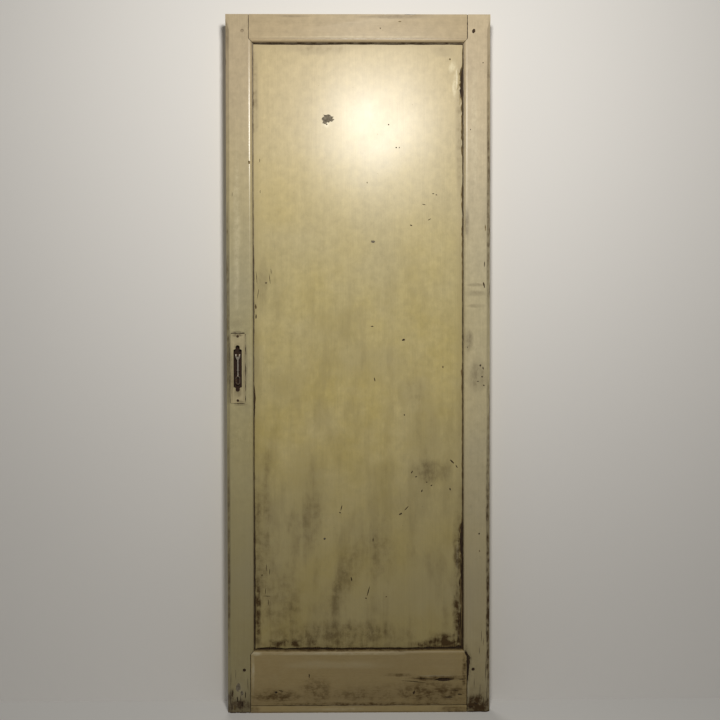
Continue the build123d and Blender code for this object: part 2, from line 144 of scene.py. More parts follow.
@dataclass(frozen=True)
class OilEnamel:
    """Oil enamel brushed on pine long ago: a yellowed cream, glossy where clean, dull where grime has settled.

    Brush lines run with the grain and pinhead specks lie all over. Grime and painted shade darken the quirks, the
    margins and the lower part, and a painted contact shadow darkens the foot; pale patches are worn-clean paint and
    painted highlights. It gives the eye a soft wide highlight with fine streaks in it.
    """

    name: str
    # Patches of grime, some of them painted shade.
    stains_and_shade: tuple[Patch, ...] = ()
    # Pale patches: worn-clean paint and painted highlights.
    rubs_and_highlights: tuple[Patch, ...] = ()
    grain_across: bool = False
    # Edges of the panel, which get darker rims of grime and painted shade of the moulding.
    margins: Optional[tuple[float, float, float, float]] = None
    # Painted shade with some grime at the foot of the moulding: depth where it starts, and its strength.
    quirk_soot_and_shade: Optional[tuple[float, float]] = (0.0128, 0.75)
    cream: str = "#bfb088"
    ochre: str = "#b5a577"
    grey_cream: str = "#ada486"
    warm_cream: str = "#baa789"
    # Colour of worn-clean paint and of painted highlights.
    rubbed_and_highlit: str = "#e6dbb8"
    # Colour of grime and of painted shade.
    soot_and_shade: str = "#47341a"
    gloss: float = 0.285
    shine: float = 0.31
    # Darker towards the bottom: grime, and painted shade of the lamp's falloff.
    low_soot_and_shade: float = 0.37
    floor_soot: float = 0.25
    streaky: float = 0.5
    wiped: float = 0.0

    def material(self) -> bpy.types.Material:
        """Build the enamel.

        Returns:
            The finished material.
        """
        material, tree = blank_material(self.name)
        place = node(tree, "TexCoord").outputs["Object"]
        xyz = node(tree, "SeparateXYZ", links={0: place})
        noises = {}
        # Brush lines lie 3 mm apart and run a hand's length with the grain; runs of dirt are 25 mm wide.
        for key, across, along, detail in (
            ("brush", 330.0, 6.0, 2.0),
            ("runs", 40.0, 2.4, 4.0),
            ("grit", 260.0, 75.0, 6.0),
        ):
            scale = (along, across, across) if self.grain_across else (across, across, along)
            drawn = node(tree, "Mapping", {"Scale": scale}, {"Vector": place})
            noises[key] = node(
                tree, "TexNoise", {"Scale": 1.0, "Detail": detail, "Roughness": 0.65}, {"Vector": drawn}
            )
        # Clouds of tone are a fifth of a metre wide, drifts of fading over half a metre, mottle 20 mm.
        for key, scale, detail in (
            ("clouds", 5.0, 5.0),
            ("drifts", 1.7, 2.0),
            ("mottle", 48.0, 5.0),
            ("sag", 4.0, 0.0),
        ):
            noises[key] = node(
                tree, "TexNoise", {"Scale": scale, "Detail": detail, "Roughness": 0.62}, {"Vector": place}
            )

        yellow = node(tree, "MapRange", {"From Min": 0.35, "From Max": 0.65}, {"Value": noises["clouds"]})
        tone = node(
            tree, "Mix", {"data_type": "RGBA", 6: linear(self.cream), 7: linear(self.ochre)}, {0: yellow}
        )
        faded = node(
            tree, "MapRange", {"From Min": 0.4, "From Max": 0.68, "To Max": 0.85}, {"Value": noises["drifts"]}
        )
        tone = node(
            tree, "Mix", {"data_type": "RGBA", 7: linear(self.grey_cream)}, {0: faded, 6: tone.outputs[2]}
        )
        # The upper part has yellowed less than the part that hands and smoke have reached.
        upper = node(
            tree,
            "MapRange",
            {"interpolation_type": "SMOOTHSTEP", "From Min": 1.15, "From Max": 1.95, "To Max": 0.8},
            {"Value": xyz.outputs["Z"]},
        )
        tone = node(
            tree, "Mix", {"data_type": "RGBA", 7: linear(self.warm_cream)}, {0: upper, 6: tone.outputs[2]}
        )
        shade = node(
            tree, "Math", {"operation": "MULTIPLY_ADD", 1: 0.3}, {0: noises["brush"], 2: noises["mottle"]}
        )
        for key, share in (("runs", 0.45), ("clouds", 0.4), ("grit", 0.45)):
            shade = node(tree, "Math", {"operation": "MULTIPLY_ADD", 1: share}, {0: noises[key], 2: shade})
        shade = node(
            tree,
            "MapRange",
            {"From Min": 1.0, "From Max": 1.6, "To Min": 0.86, "To Max": 1.13},
            {"Value": shade},
        )
        tone = node(tree, "VectorMath", {"operation": "SCALE"}, {0: tone.outputs[2], "Scale": shade})

        swirl = self._swirl(tree, place)
        uneven = node(
            tree,
            "Math",
            {"operation": "MULTIPLY_ADD", 1: self.streaky},
            {0: noises["grit"], 2: noises["mottle"]},
        )
        uneven = node(tree, "Math", {"operation": "MULTIPLY_ADD", 1: 0.6}, {0: noises["runs"], 2: uneven})
        middle = 0.5 * (1.6 + self.streaky)
        uneven = node(
            tree,
            "MapRange",
            {
                "interpolation_type": "SMOOTHSTEP",
                "From Min": middle - 0.2,
                "From Max": middle + 0.22,
                "To Min": 0.25,
            },
            {"Value": uneven},
        )
        # Pale patches on the front only: worn-clean paint and painted highlights.
        if self.rubs_and_highlights:
            front = node(tree, "Math", {"operation": "LESS_THAN", 1: 0.0}, {0: xyz.outputs["Y"]})
            rubbed_and_highlit = self._patches(tree, place, swirl, self.rubs_and_highlights)
            rubbed_and_highlit = node(tree, "Math", {"operation": "MULTIPLY"}, {0: rubbed_and_highlit, 1: front})
            rubbed_and_highlit = node(tree, "Math", {"operation": "MULTIPLY"}, {0: rubbed_and_highlit, 1: uneven})
            tone = node(tree, "Mix", {"data_type": "RGBA", 7: linear(self.rubbed_and_highlit)}, {0: rubbed_and_highlit, 6: tone})
            tone = tone.outputs[2]
        # Grime and painted shade together darken the enamel towards one dark colour.
        grime_and_shade = self._grime_and_shade(tree, place, swirl, xyz, uneven)
        colour = node(tree, "Mix", {"data_type": "RGBA", 7: linear(self.soot_and_shade)}, {0: grime_and_shade, 6: tone})
        dull = node(tree, "MapRange", {"To Min": self.gloss, "To Max": self.gloss + 0.35}, {"Value": grime_and_shade})
        rough = node(
            tree,
            "MapRange",
            {"From Min": 0.3, "From Max": 0.7, "To Min": -0.012, "To Max": 0.016},
            {"Value": noises["clouds"]},
        )
        rough = node(tree, "Math", {"operation": "ADD"}, {0: dull, 1: rough})
        lines = node(tree, "Bump", {"Strength": 0.5, "Distance": 0.00004}, {"Height": noises["brush"]})
        lumps = node(
            tree,
            "Bump",
            {"Strength": 0.5, "Distance": 0.00003},
            {"Height": noises["mottle"], "Normal": lines},
        )
        waves = node(tree, "Bump", {"Distance": 0.0016}, {"Height": noises["sag"], "Normal": lumps})
        shader = node(
            tree,
            "BsdfPrincipled",
            {"IOR": 1.48, "Specular IOR Level": self.shine},
            {"Base Color": colour.outputs[2], "Roughness": rough, "Normal": waves},
        )
        node(tree, "OutputMaterial", links={"Surface": shader})
        return material

    def _swirl(self, tree: bpy.types.NodeTree, place: bpy.types.NodeSocket) -> bpy.types.Node:
        """Make the push that gives a patch its ragged edge, drawn out with the grain.

        Args:
            tree: Tree that is being built.
            place: Object coordinates.

        Returns:
            The node that gives the push, in shares of a patch's size.
        """
        scale = (12.0, 34.0, 40.0) if self.grain_across else (34.0, 34.0, 14.0)
        drawn = node(tree, "Mapping", {"Scale": scale}, {"Vector": place})
        swirl = node(tree, "TexNoise", {"Scale": 1.0, "Detail": 6.0, "Roughness": 0.68}, {"Vector": drawn})
        swirl = node(
            tree, "VectorMath", {"operation": "SUBTRACT", 1: (0.5, 0.5, 0.5)}, {0: swirl.outputs["Color"]}
        )
        return node(tree, "VectorMath", {"operation": "MULTIPLY", 1: (1.3, 0.0, 1.3)}, {0: swirl})

    def _patches(
        self,
        tree: bpy.types.NodeTree,
        place: bpy.types.NodeSocket,
        swirl: bpy.types.Node,
        patches: tuple[Patch, ...],
    ) -> bpy.types.Node:
        """Lay soft patches over each other.

        Args:
            tree: Tree that is being built.
            place: Object coordinates.
            swirl: Push that makes the edges ragged.
            patches: The patches.

        Returns:
            The node that gives the strongest patch at each place.
        """
        total = None
        for patch in patches:
            fitted = node(
                tree,
                "Mapping",
                {
                    "vector_type": "TEXTURE",
                    "Location": (patch.x * MM, 0.0, patch.z * MM),
                    "Rotation": (0.0, math.radians(patch.tilt), 0.0),
                    "Scale": (patch.half_width * MM, 1000.0, patch.half_height * MM),
                },
                {"Vector": place},
            )
            pushed = node(tree, "VectorMath", {"operation": "ADD"}, {0: fitted, 1: swirl})
            reach = node(tree, "VectorMath", {"operation": "LENGTH"}, {0: pushed})
            mask = node(
                tree,
                "MapRange",
                {
                    "interpolation_type": "SMOOTHSTEP",
                    "From Min": 1.1,
                    "From Max": 0.3,
                    "To Max": patch.strength,
                },
                {"Value": reach.outputs["Value"]},
            )
            if total is None:
                total = mask
            else:
                total = node(tree, "Math", {"operation": "MAXIMUM"}, {0: total, 1: mask})
        return total

    def _grime_and_shade(
        self,
        tree: bpy.types.NodeTree,
        place: bpy.types.NodeSocket,
        swirl: bpy.types.Node,
        xyz: bpy.types.Node,
        uneven: bpy.types.Node,
    ) -> bpy.types.Node:
        """Gather the darkening: grime and painted shade low down and in the margins or quirks, patches of grime and
        painted shade, a painted contact shadow at the foot, and specks.

        Args:
            tree: Tree that is being built.
            place: Object coordinates.
            swirl: Push that makes the edges of patches ragged.
            xyz: Object coordinates, separated.
            uneven: How strongly grime has stuck at each place.

        Returns:
            The node that gives the share of grime and painted shade, from 0 to 1.
        """
        total = None
        # Darker towards the bottom: grime and painted shade of the lamp's falloff below 1.05 m, grime in the lowest
        # 0.1 m, and a painted contact shadow with grime in the lowest 6 mm.
        for start, share in ((1.05, self.low_soot_and_shade), (0.10, self.floor_soot), (0.006, 0.55)):
            low = node(
                tree,
                "MapRange",
                {"interpolation_type": "SMOOTHSTEP", "From Min": start, "From Max": 0.0, "To Max": share},
                {"Value": xyz.outputs["Z"]},
            )
            total = low if total is None else node(tree, "Math", {"operation": "ADD"}, {0: total, 1: low})
        half = node(tree, "MapRange", {"To Min": 0.55, "To Max": 1.15}, {"Value": uneven})
        total = node(tree, "Math", {"operation": "MULTIPLY"}, {0: total, 1: half})
        # Darker rims along the panel's margins: grime and painted shade of the moulding.
        if self.margins:
            left, right, bottom, top = self.margins
            edge = None
            for axis, limit, sign in (("X", left, 1), ("X", right, -1), ("Z", bottom, 1), ("Z", top, -1)):
                away = node(
                    tree,
                    "Math",
                    {"operation": "MULTIPLY_ADD", 1: sign, 2: -sign * limit},
                    {0: xyz.outputs[axis]},
                )
                if edge is None:
                    edge = away
                else:
                    edge = node(tree, "Math", {"operation": "MINIMUM"}, {0: edge, 1: away})
            for reach, share in ((0.028, 0.22), (0.005, 0.35)):
                rim_soot_and_shade = node(
                    tree,
                    "MapRange",
                    {
                        "interpolation_type": "SMOOTHSTEP",
                        "From Min": reach,
                        "From Max": 0.0,
                        "To Max": share,
                    },
                    {"Value": edge},
                )
                rim_soot_and_shade = node(tree, "Math", {"operation": "MULTIPLY"}, {0: rim_soot_and_shade, 1: uneven})
                total = node(tree, "Math", {"operation": "ADD"}, {0: total, 1: rim_soot_and_shade})
        elif self.quirk_soot_and_shade:
            # The foot of the sticking lies 10 mm under the face, inside the sight edges; darkening it there is
            # painted shade of the moulding, with some grime.
            start, share = self.quirk_soot_and_shade
            depth = node(tree, "Math", {"operation": "ABSOLUTE"}, {0: xyz.outputs["Y"]})
            quirk_soot_and_shade = node(
                tree,
                "MapRange",
                {
                    "interpolation_type": "SMOOTHSTEP",
                    "From Min": start,
                    "From Max": STICKING_FOOT,
                    "To Max": share,
                },
                {"Value": depth},
            )
            for axis, middle, half_size in STICKING_SPAN:
                inside = node(
                    tree, "Math", {"operation": "COMPARE", 1: middle, 2: half_size}, {0: xyz.outputs[axis]}
                )
                quirk_soot_and_shade = node(tree, "Math", {"operation": "MULTIPLY"}, {0: quirk_soot_and_shade, 1: inside})
            quirk_soot_and_shade = node(tree, "Math", {"operation": "MULTIPLY"}, {0: quirk_soot_and_shade, 1: half})
            total = node(tree, "Math", {"operation": "ADD"}, {0: total, 1: quirk_soot_and_shade})
        # Patches of grime, some of them painted shade.
        if self.stains_and_shade:
            stained_and_shaded = self._patches(tree, place, swirl, self.stains_and_shade)
            stained_and_shaded = node(tree, "Math", {"operation": "MULTIPLY"}, {0: stained_and_shaded, 1: uneven})
            total = node(tree, "Math", {"operation": "ADD"}, {0: total, 1: stained_and_shaded})
        if self.wiped:
            # A rag has left faint upright smears below shoulder height.
            drawn = node(tree, "Mapping", {"Scale": (14.0, 14.0, 4.2)}, {"Vector": place})
            smear = node(
                tree, "TexNoise", {"Scale": 1.0, "Detail": 5.0, "Roughness": 0.6}, {"Vector": drawn}
            )
            smear = node(
                tree,
                "MapRange",
                {
                    "interpolation_type": "SMOOTHSTEP",
                    "From Min": 0.46,
                    "From Max": 0.66,
                    "To Max": self.wiped,
                },
                {"Value": smear},
            )
            reach = node(
                tree,
                "MapRange",
                {"interpolation_type": "SMOOTHSTEP", "From Min": 1.45, "From Max": 1.15},
                {"Value": xyz.outputs["Z"]},
            )
            smear = node(tree, "Math", {"operation": "MULTIPLY"}, {0: smear, 1: reach})
            smear = node(tree, "Math", {"operation": "MULTIPLY"}, {0: smear, 1: half})
            total = node(tree, "Math", {"operation": "ADD"}, {0: total, 1: smear})
        # Specks up to 2 mm across, one to about every fourth square of 14 mm.
        cells = node(tree, "TexVoronoi", {"Scale": 70.0}, {"Vector": place})
        drawn = node(tree, "SeparateColor", links={0: cells.outputs["Color"]})
        size = node(
            tree, "MapRange", {"From Min": 0.74, "From Max": 1.0, "To Max": 0.07}, {"Value": drawn.outputs[0]}
        )
        speck = node(tree, "Math", {"operation": "LESS_THAN"}, {0: cells.outputs["Distance"], 1: size})
        speck = node(tree, "Math", {"operation": "MULTIPLY", 1: 0.4}, {0: speck})
        return node(tree, "Math", {"operation": "ADD", "use_clamp": True}, {0: total, 1: speck})


@dataclass(frozen=True)
class OldTimber:
    """Bare pine that has gone brown with age: growth lines drawn along one axis, dull, thirsty and open."""

    name: str
    pale: str = "#8b6a41"
    dark: str = "#4a3119"
    along: str = "Z"
    ring_mm: float = 3.0
    roughness: float = 0.82

    def material(self) -> bpy.types.Material:
        """Build the bare wood.

        Returns:
            The finished material.
        """
        material, tree = blank_material(self.name)
        place = node(tree, "TexCoord").outputs["Object"]
        stretch = tuple(0.05 if axis == self.along else 1.0 for axis in "XYZ")
        drawn = node(tree, "Mapping", {"Scale": stretch}, {"Vector": place})
        rings = node(
            tree,
            "TexWave",
            {"Scale": 1.0 / (self.ring_mm * MM) / 6.5, "Distortion": 5.0, "Detail": 3.0, "Detail Scale": 1.5},
            {"Vector": drawn},
        )
        fibres = node(tree, "Mapping", {"Scale": tuple(part * 900 for part in stretch)}, {"Vector": place})
        fibre = node(tree, "TexNoise", {"Scale": 1.0, "Detail": 3.0}, {"Vector": fibres})
        blotch = node(tree, "TexNoise", {"Scale": 45.0, "Detail": 4.0}, {"Vector": place})
        mixed = node(
            tree, "Math", {"operation": "MULTIPLY_ADD", 1: 0.55}, {0: rings.outputs["Fac"], 2: fibre}
        )
        mixed = node(tree, "Math", {"operation": "MULTIPLY_ADD", 1: 0.8}, {0: blotch, 2: mixed})
        share = node(tree, "MapRange", {"From Min": 0.7, "From Max": 1.6}, {"Value": mixed})
        colour = node(
            tree, "Mix", {"data_type": "RGBA", 6: linear(self.pale), 7: linear(self.dark)}, {0: share}
        )
        bump = node(tree, "Bump", {"Strength": 0.7, "Distance": 0.0003}, {"Height": mixed})
        shader = node(
            tree,
            "BsdfPrincipled",
            {"Roughness": self.roughness, "IOR": 1.45},
            {"Base Color": colour.outputs[2], "Normal": bump},
        )
        node(tree, "OutputMaterial", links={"Surface": shader})
        return material


@dataclass(frozen=True)
class Undercoat:
    """Lead-grey primer that shows where the enamel has flaked: flat, chalky, faintly scratched."""

    name: str = "grey_primer_under_flaked_enamel"
    grey: str = "#857b69"
    dark: str = "#5d5443"

    def material(self) -> bpy.types.Material:
        """Build the primer.

        Returns:
            The finished material.
        """
        material, tree = blank_material(self.name)
        place = node(tree, "TexCoord").outputs["Object"]
        blotch = node(tree, "TexNoise", {"Scale": 160.0, "Detail": 3.0}, {"Vector": place})
        share = node(tree, "MapRange", {"From Min": 0.4, "From Max": 0.65}, {"Value": blotch})
        colour = node(
            tree, "Mix", {"data_type": "RGBA", 6: linear(self.grey), 7: linear(self.dark)}, {0: share}
        )
        bump = node(tree, "Bump", {"Strength": 0.5, "Distance": 0.0002}, {"Height": blotch})
        shader = node(
            tree, "BsdfPrincipled", {"Roughness": 0.8}, {"Base Color": colour.outputs[2], "Normal": bump}
        )
        node(tree, "OutputMaterial", links={"Surface": shader})
        return material


@dataclass(frozen=True)
class OldIron:
    """Iron or steel handled and rusted for decades: dark metal with brown rust, brighter where hands rub.

    The rust is rough and not metallic, so it drinks the light between small dull glints.
    """

    name: str
    metal: str = "#5b5550"
    rust: str = "#372413"
    bright_rust: str = "#5c4023"
    rusted: float = 0.5
    roughness: float = 0.45
    bloom_mm: float = 6.0

    def material(self) -> bpy.types.Material:
        """Build the metal.

        Returns:
            The finished material.
        """
        material, tree = blank_material(self.name)
        place = node(tree, "TexCoord").outputs["Object"]
        bloom = node(
            tree,
            "TexNoise",
            {"Scale": 1.0 / (self.bloom_mm * MM), "Detail": 5.0, "Roughness": 0.65},
            {"Vector": place},
        )
        pits = node(tree, "TexNoise", {"Scale": 900.0, "Detail": 3.0}, {"Vector": place})
        edge = 0.72 - 0.44 * self.rusted
        cover = node(
            tree,
            "MapRange",
            {"interpolation_type": "SMOOTHSTEP", "From Min": edge - 0.06, "From Max": edge + 0.06},
            {"Value": bloom},
        )
        rust = node(
            tree, "Mix", {"data_type": "RGBA", 6: linear(self.rust), 7: linear(self.bright_rust)}, {0: pits}
        )
        colour = node(
            tree, "Mix", {"data_type": "RGBA", 6: linear(self.metal)}, {0: cover, 7: rust.outputs[2]}
        )
        metallic = node(tree, "MapRange", {"To Min": 0.9, "To Max": 0.05}, {"Value": cover})
        rough = node(tree, "MapRange", {"To Min": self.roughness, "To Max": 0.85}, {"Value": cover})
        height = node(tree, "Math", {"operation": "ADD"}, {0: bloom, 1: pits})
        bump = node(tree, "Bump", {"Strength": 0.6, "Distance": 0.00025}, {"Height": height})
        shader = node(
            tree,
            "BsdfPrincipled",
            links={"Base Color": colour.outputs[2], "Metallic": metallic, "Roughness": rough, "Normal": bump},
        )
        node(tree, "OutputMaterial", links={"Surface": shader})
        return material


@dataclass(frozen=True)
class ShopWall:
    """Matt emulsion for the wall and floor of the set, plain and pale. One-sided, it is clear from behind."""

    name: str
    colour: str = "#e9e7e3"
    one_sided: bool = False

    def material(self) -> bpy.types.Material:
        """Build the plain paint.

        Returns:
            The finished material.
        """
        material, tree = blank_material(self.name)
        place = node(tree, "TexCoord").outputs["Object"]
        drift = node(tree, "TexNoise", {"Scale": 1.2, "Detail": 2.0}, {"Vector": place})
        shade = node(tree, "MapRange", {"To Min": 0.97, "To Max": 1.0}, {"Value": drift})
        tone = node(tree, "VectorMath", {"operation": "SCALE", 0: linear(self.colour)[:3]}, {"Scale": shade})
        shader = node(tree, "BsdfDiffuse", {"Roughness": 0.6}, {"Color": tone})
        if self.one_sided:
            behind = node(tree, "NewGeometry").outputs["Backfacing"]
            clear = node(tree, "BsdfTransparent")
            shader = node(tree, "MixShader", links={0: behind, 1: shader, 2: clear})
        node(tree, "OutputMaterial", links={"Surface": shader})
        return material


class Under(Enum):
    """What a cut lays bare, as the number of the piece's material slot."""

    PRIMER = 1
    TIMBER = 2
    DARK = 3


class Mark(Enum):
    """Ways in which the surface is hurt: corners of the outline, raggedness, depth in mm and taper."""

    FLAKE = (20, 0.40, 0.45, 0.96)
    HOLE = (10, 0.10, 4.0, 0.8)
    SCRATCH = (14, 0.25, 0.7, 0.7)
    SPLIT = (26, 0.35, 4.0, 0.45)
    GOUGE = (18, 0.38, 1.6, 0.8)


def thicken(push: tuple[float, float, float]) -> None:
    """Give the active flat sheet its thickness, and leave its edit mode on.

    Args:
        push: How far its other side lies, in metres.
    """
    bpy.ops.object.mode_set(mode="EDIT")
    bpy.ops.mesh.select_all(action="SELECT")
    bpy.ops.mesh.extrude_region_move(TRANSFORM_OT_translate={"value": push})


def face_outwards() -> None:
    """Turn the faces of the piece in edit mode outwards, and leave edit mode."""
    bpy.ops.mesh.select_all(action="SELECT")
    bpy.ops.mesh.normals_make_consistent(inside=False)
    bpy.ops.object.mode_set(mode="OBJECT")


def lay_bare(blade: bpy.types.Object, under: Under) -> bpy.types.Object:
    """Mark a blade's faces with what they lay bare.

    Args:
        blade: The blade.
        under: What shows where it has cut.

    Returns:
        The blade.
    """
    for polygon in blade.data.polygons:
        polygon.material_index = under.value
    return blade


@dataclass(frozen=True)
class Flaw:
    """One hurt place on a face of the leaf, in millimetres and degrees."""

    mark: Mark
    x: float
    z: float
    half_width: float
    half_height: float
    tilt: float = 0.0
    under: Under = Under.DARK

    def cutter(self, face: float, dice: random.Random) -> bpy.types.Object:
        """Make the solid that is cut out of the piece.

        Args:
            face: Y of the face that is hurt, with the leaf in front of it on the -Y side.
            dice: Seeded source of the outline's raggedness.

        Returns:
            A closed solid through the face.
        """
        corners, ragged, depth_mm, taper = self.mark.value
        bpy.ops.object.select_all(action="DESELECT")
        bpy.ops.mesh.primitive_circle_add(
            vertices=corners, radius=1.0, fill_type="NGON", rotation=(math.pi / 2, 0, 0)
        )
        blade = bpy.context.object
        bpy.ops.object.transform_apply(location=False, rotation=True, scale=False)
        pointed = 0.35 if self.mark in (Mark.SCRATCH, Mark.SPLIT) else 0.0
        slim = self.half_width < self.half_height
        for vertex in blade.data.vertices:
            reach = 1.0 - ragged * dice.random()
            end = abs(vertex.co.z if slim else vertex.co.x)
            waist = 1.0 - pointed * end
            vertex.co.x *= self.half_width * MM * reach * (waist if slim else 1.0)
            vertex.co.z *= self.half_height * MM * reach * (1.0 if slim else waist)
        thicken((0.0, OVERCUT + depth_mm * MM, 0.0))
        bpy.ops.transform.resize(value=(taper, 1.0, taper), center_override=(0.0, 0.0, 0.0))
        face_outwards()
        turn = Matrix.Rotation(math.radians(self.tilt), 4, "Y")
        blade.data.transform(Matrix.Translation((self.x * MM, face - OVERCUT, self.z * MM)) @ turn)
        return lay_bare(blade, self.under)


@dataclass(frozen=True)
class Tear:
    """A long ragged loss beside a straight edge: its widths in mm at places along the edge, in mm."""

    along: str
    edge: float
    inward: int
    widths: tuple[tuple[float, float], ...]
    ragged: float = 0.5
    depth_mm: float = 1.6
    step_mm: float = 7.0
    under: Under = Under.DARK

    def width_at(self, place: float) -> float:
        """Work out how wide the loss is at one place.

        Args:
            place: Distance along the edge, in mm.

        Returns:
            The width in mm.
        """
        for (start, first), (stop, last) in zip(self.widths, self.widths[1:]):
            if start <= place <= stop:
                return first + (last - first) * (place - start) / (stop - start)
        return self.widths[-1][1]

    def cutter(self, face: float, dice: random.Random) -> bpy.types.Object:
        """Make the long solid that is cut out of the piece.

        Args:
            face: Y of the face that is hurt.
            dice: Seeded source of the outline's raggedness.

        Returns:
            A closed solid through the face, that starts a little outside the edge.
        """
        start, stop = self.widths[0][0], self.widths[-1][0]
        rows = max(2, round((stop - start) / self.step_mm))
        bpy.ops.object.select_all(action="DESELECT")
        bpy.ops.mesh.primitive_grid_add(x_subdivisions=1, y_subdivisions=rows, size=2.0)
        blade = bpy.context.object
        for vertex in blade.data.vertices:
            place = start + (stop - start) * (vertex.co.y + 1) / 2
            if vertex.co.x > 0:
                width = self.width_at(place) * (1.0 + self.ragged * (dice.random() * 2 - 1))
                aside = self.edge + self.inward * max(width, NARROWEST_TEAR_MM)
            else:
                aside = self.edge - self.inward * TEAR_START_MM
            flat = (aside, place) if self.along == "Z" else (place, aside)
            vertex.co = (flat[0] * MM, face - OVERCUT, flat[1] * MM)
        thicken((0.0, OVERCUT + self.depth_mm * MM, 0.0))
        face_outwards()
        return lay_bare(blade, self.under)


@dataclass(frozen=True)
class OpenJoint:
    """A joint that has opened to a dark line: its two ends, with width and depth there, in millimetres."""

    start: tuple[float, float]
    stop: tuple[float, float]
    widths: tuple[float, float] = (1.8, 1.8)
    depths_mm: tuple[float, float] = (4.5, 4.5)
    ragged: float = 0.45
    step_mm: float = 6.0
    under: Under = Under.DARK

    def cutter(self, face: float, dice: random.Random) -> bpy.types.Object:
        """Make the thin uneven blade that opens the joint.

        Args:
            face: Y of the face that is hurt.
            dice: Seeded source of the width's unevenness.

        Returns:
            A closed solid through the face.
        """
        first, last = Vector(self.start), Vector(self.stop)
        rows = max(2, round((last - first).length / self.step_mm))
        aside = Vector((first.y - last.y, last.x - first.x)).normalized()
        bpy.ops.object.select_all(action="DESELECT")
        bpy.ops.mesh.primitive_grid_add(x_subdivisions=1, y_subdivisions=rows, size=2.0)
        blade = bpy.context.object
        thicken((0.0, 0.0, 1.0))
        bpy.ops.object.mode_set(mode="OBJECT")
        reaches = {}
        for vertex in blade.data.vertices:
            share = (vertex.co.y + 1) / 2
            key = (round(vertex.co.x), round(share, 4))
            if key not in reaches:
                width = self.widths[0] + (self.widths[1] - self.widths[0]) * share
                reaches[key] = width / 2 * (1.0 + self.ragged * (dice.random() * 2 - 1))
            point = first.lerp(last, share) + aside * (reaches[key] if vertex.co.x > 0 else -reaches[key])
            depth = self.depths_mm[0] + (self.depths_mm[1] - self.depths_mm[0]) * share
            sunk = face + depth * MM if vertex.co.z > 0.5 else face - OVERCUT
            vertex.co = (point.x * MM, sunk, point.y * MM)
        bpy.ops.object.mode_set(mode="EDIT")
        face_outwards()
        return lay_bare(blade, self.under)


# The bottom rail has shrunk away from the right stile: both pieces are cut back here.
GAPING_SHOULDER = (
    OpenJoint((308, 179), (319, 160), (6.0, 11.0), (2.0, 1.8)),
    OpenJoint((319, 160), (315, 92), (11.0, 2.0), (1.8, 1.8)),
)


@dataclass(frozen=True)
class Nick:
    """A knock on an arris or corner, as a lump taken out: centre and half-sizes in mm."""

    centre: tuple[float, float, float]
    half: tuple[float, float, float]
    under: Under = Under.TIMBER

    def cutter(self, face: float, dice: random.Random) -> bpy.types.Object:
        """Make the lump that is cut out of the piece.

        Args:
            face: Not used, because a nick has its own place in depth.
            dice: Seeded source of the lump's raggedness.

        Returns:
            A closed lump.
        """
        bpy.ops.object.select_all(action="DESELECT")
        bpy.ops.mesh.primitive_ico_sphere_add(subdivisions=2, radius=1.0)
        lump = bpy.context.object
        for vertex in lump.data.vertices:
            vertex.co *= 1.0 - 0.35 * dice.random()
        size = Matrix.Diagonal((*(part * MM for part in self.half), 1.0))
        lump.data.transform(Matrix.Translation(Vector(self.centre) * MM) @ size)
        return lay_bare(lump, self.under)


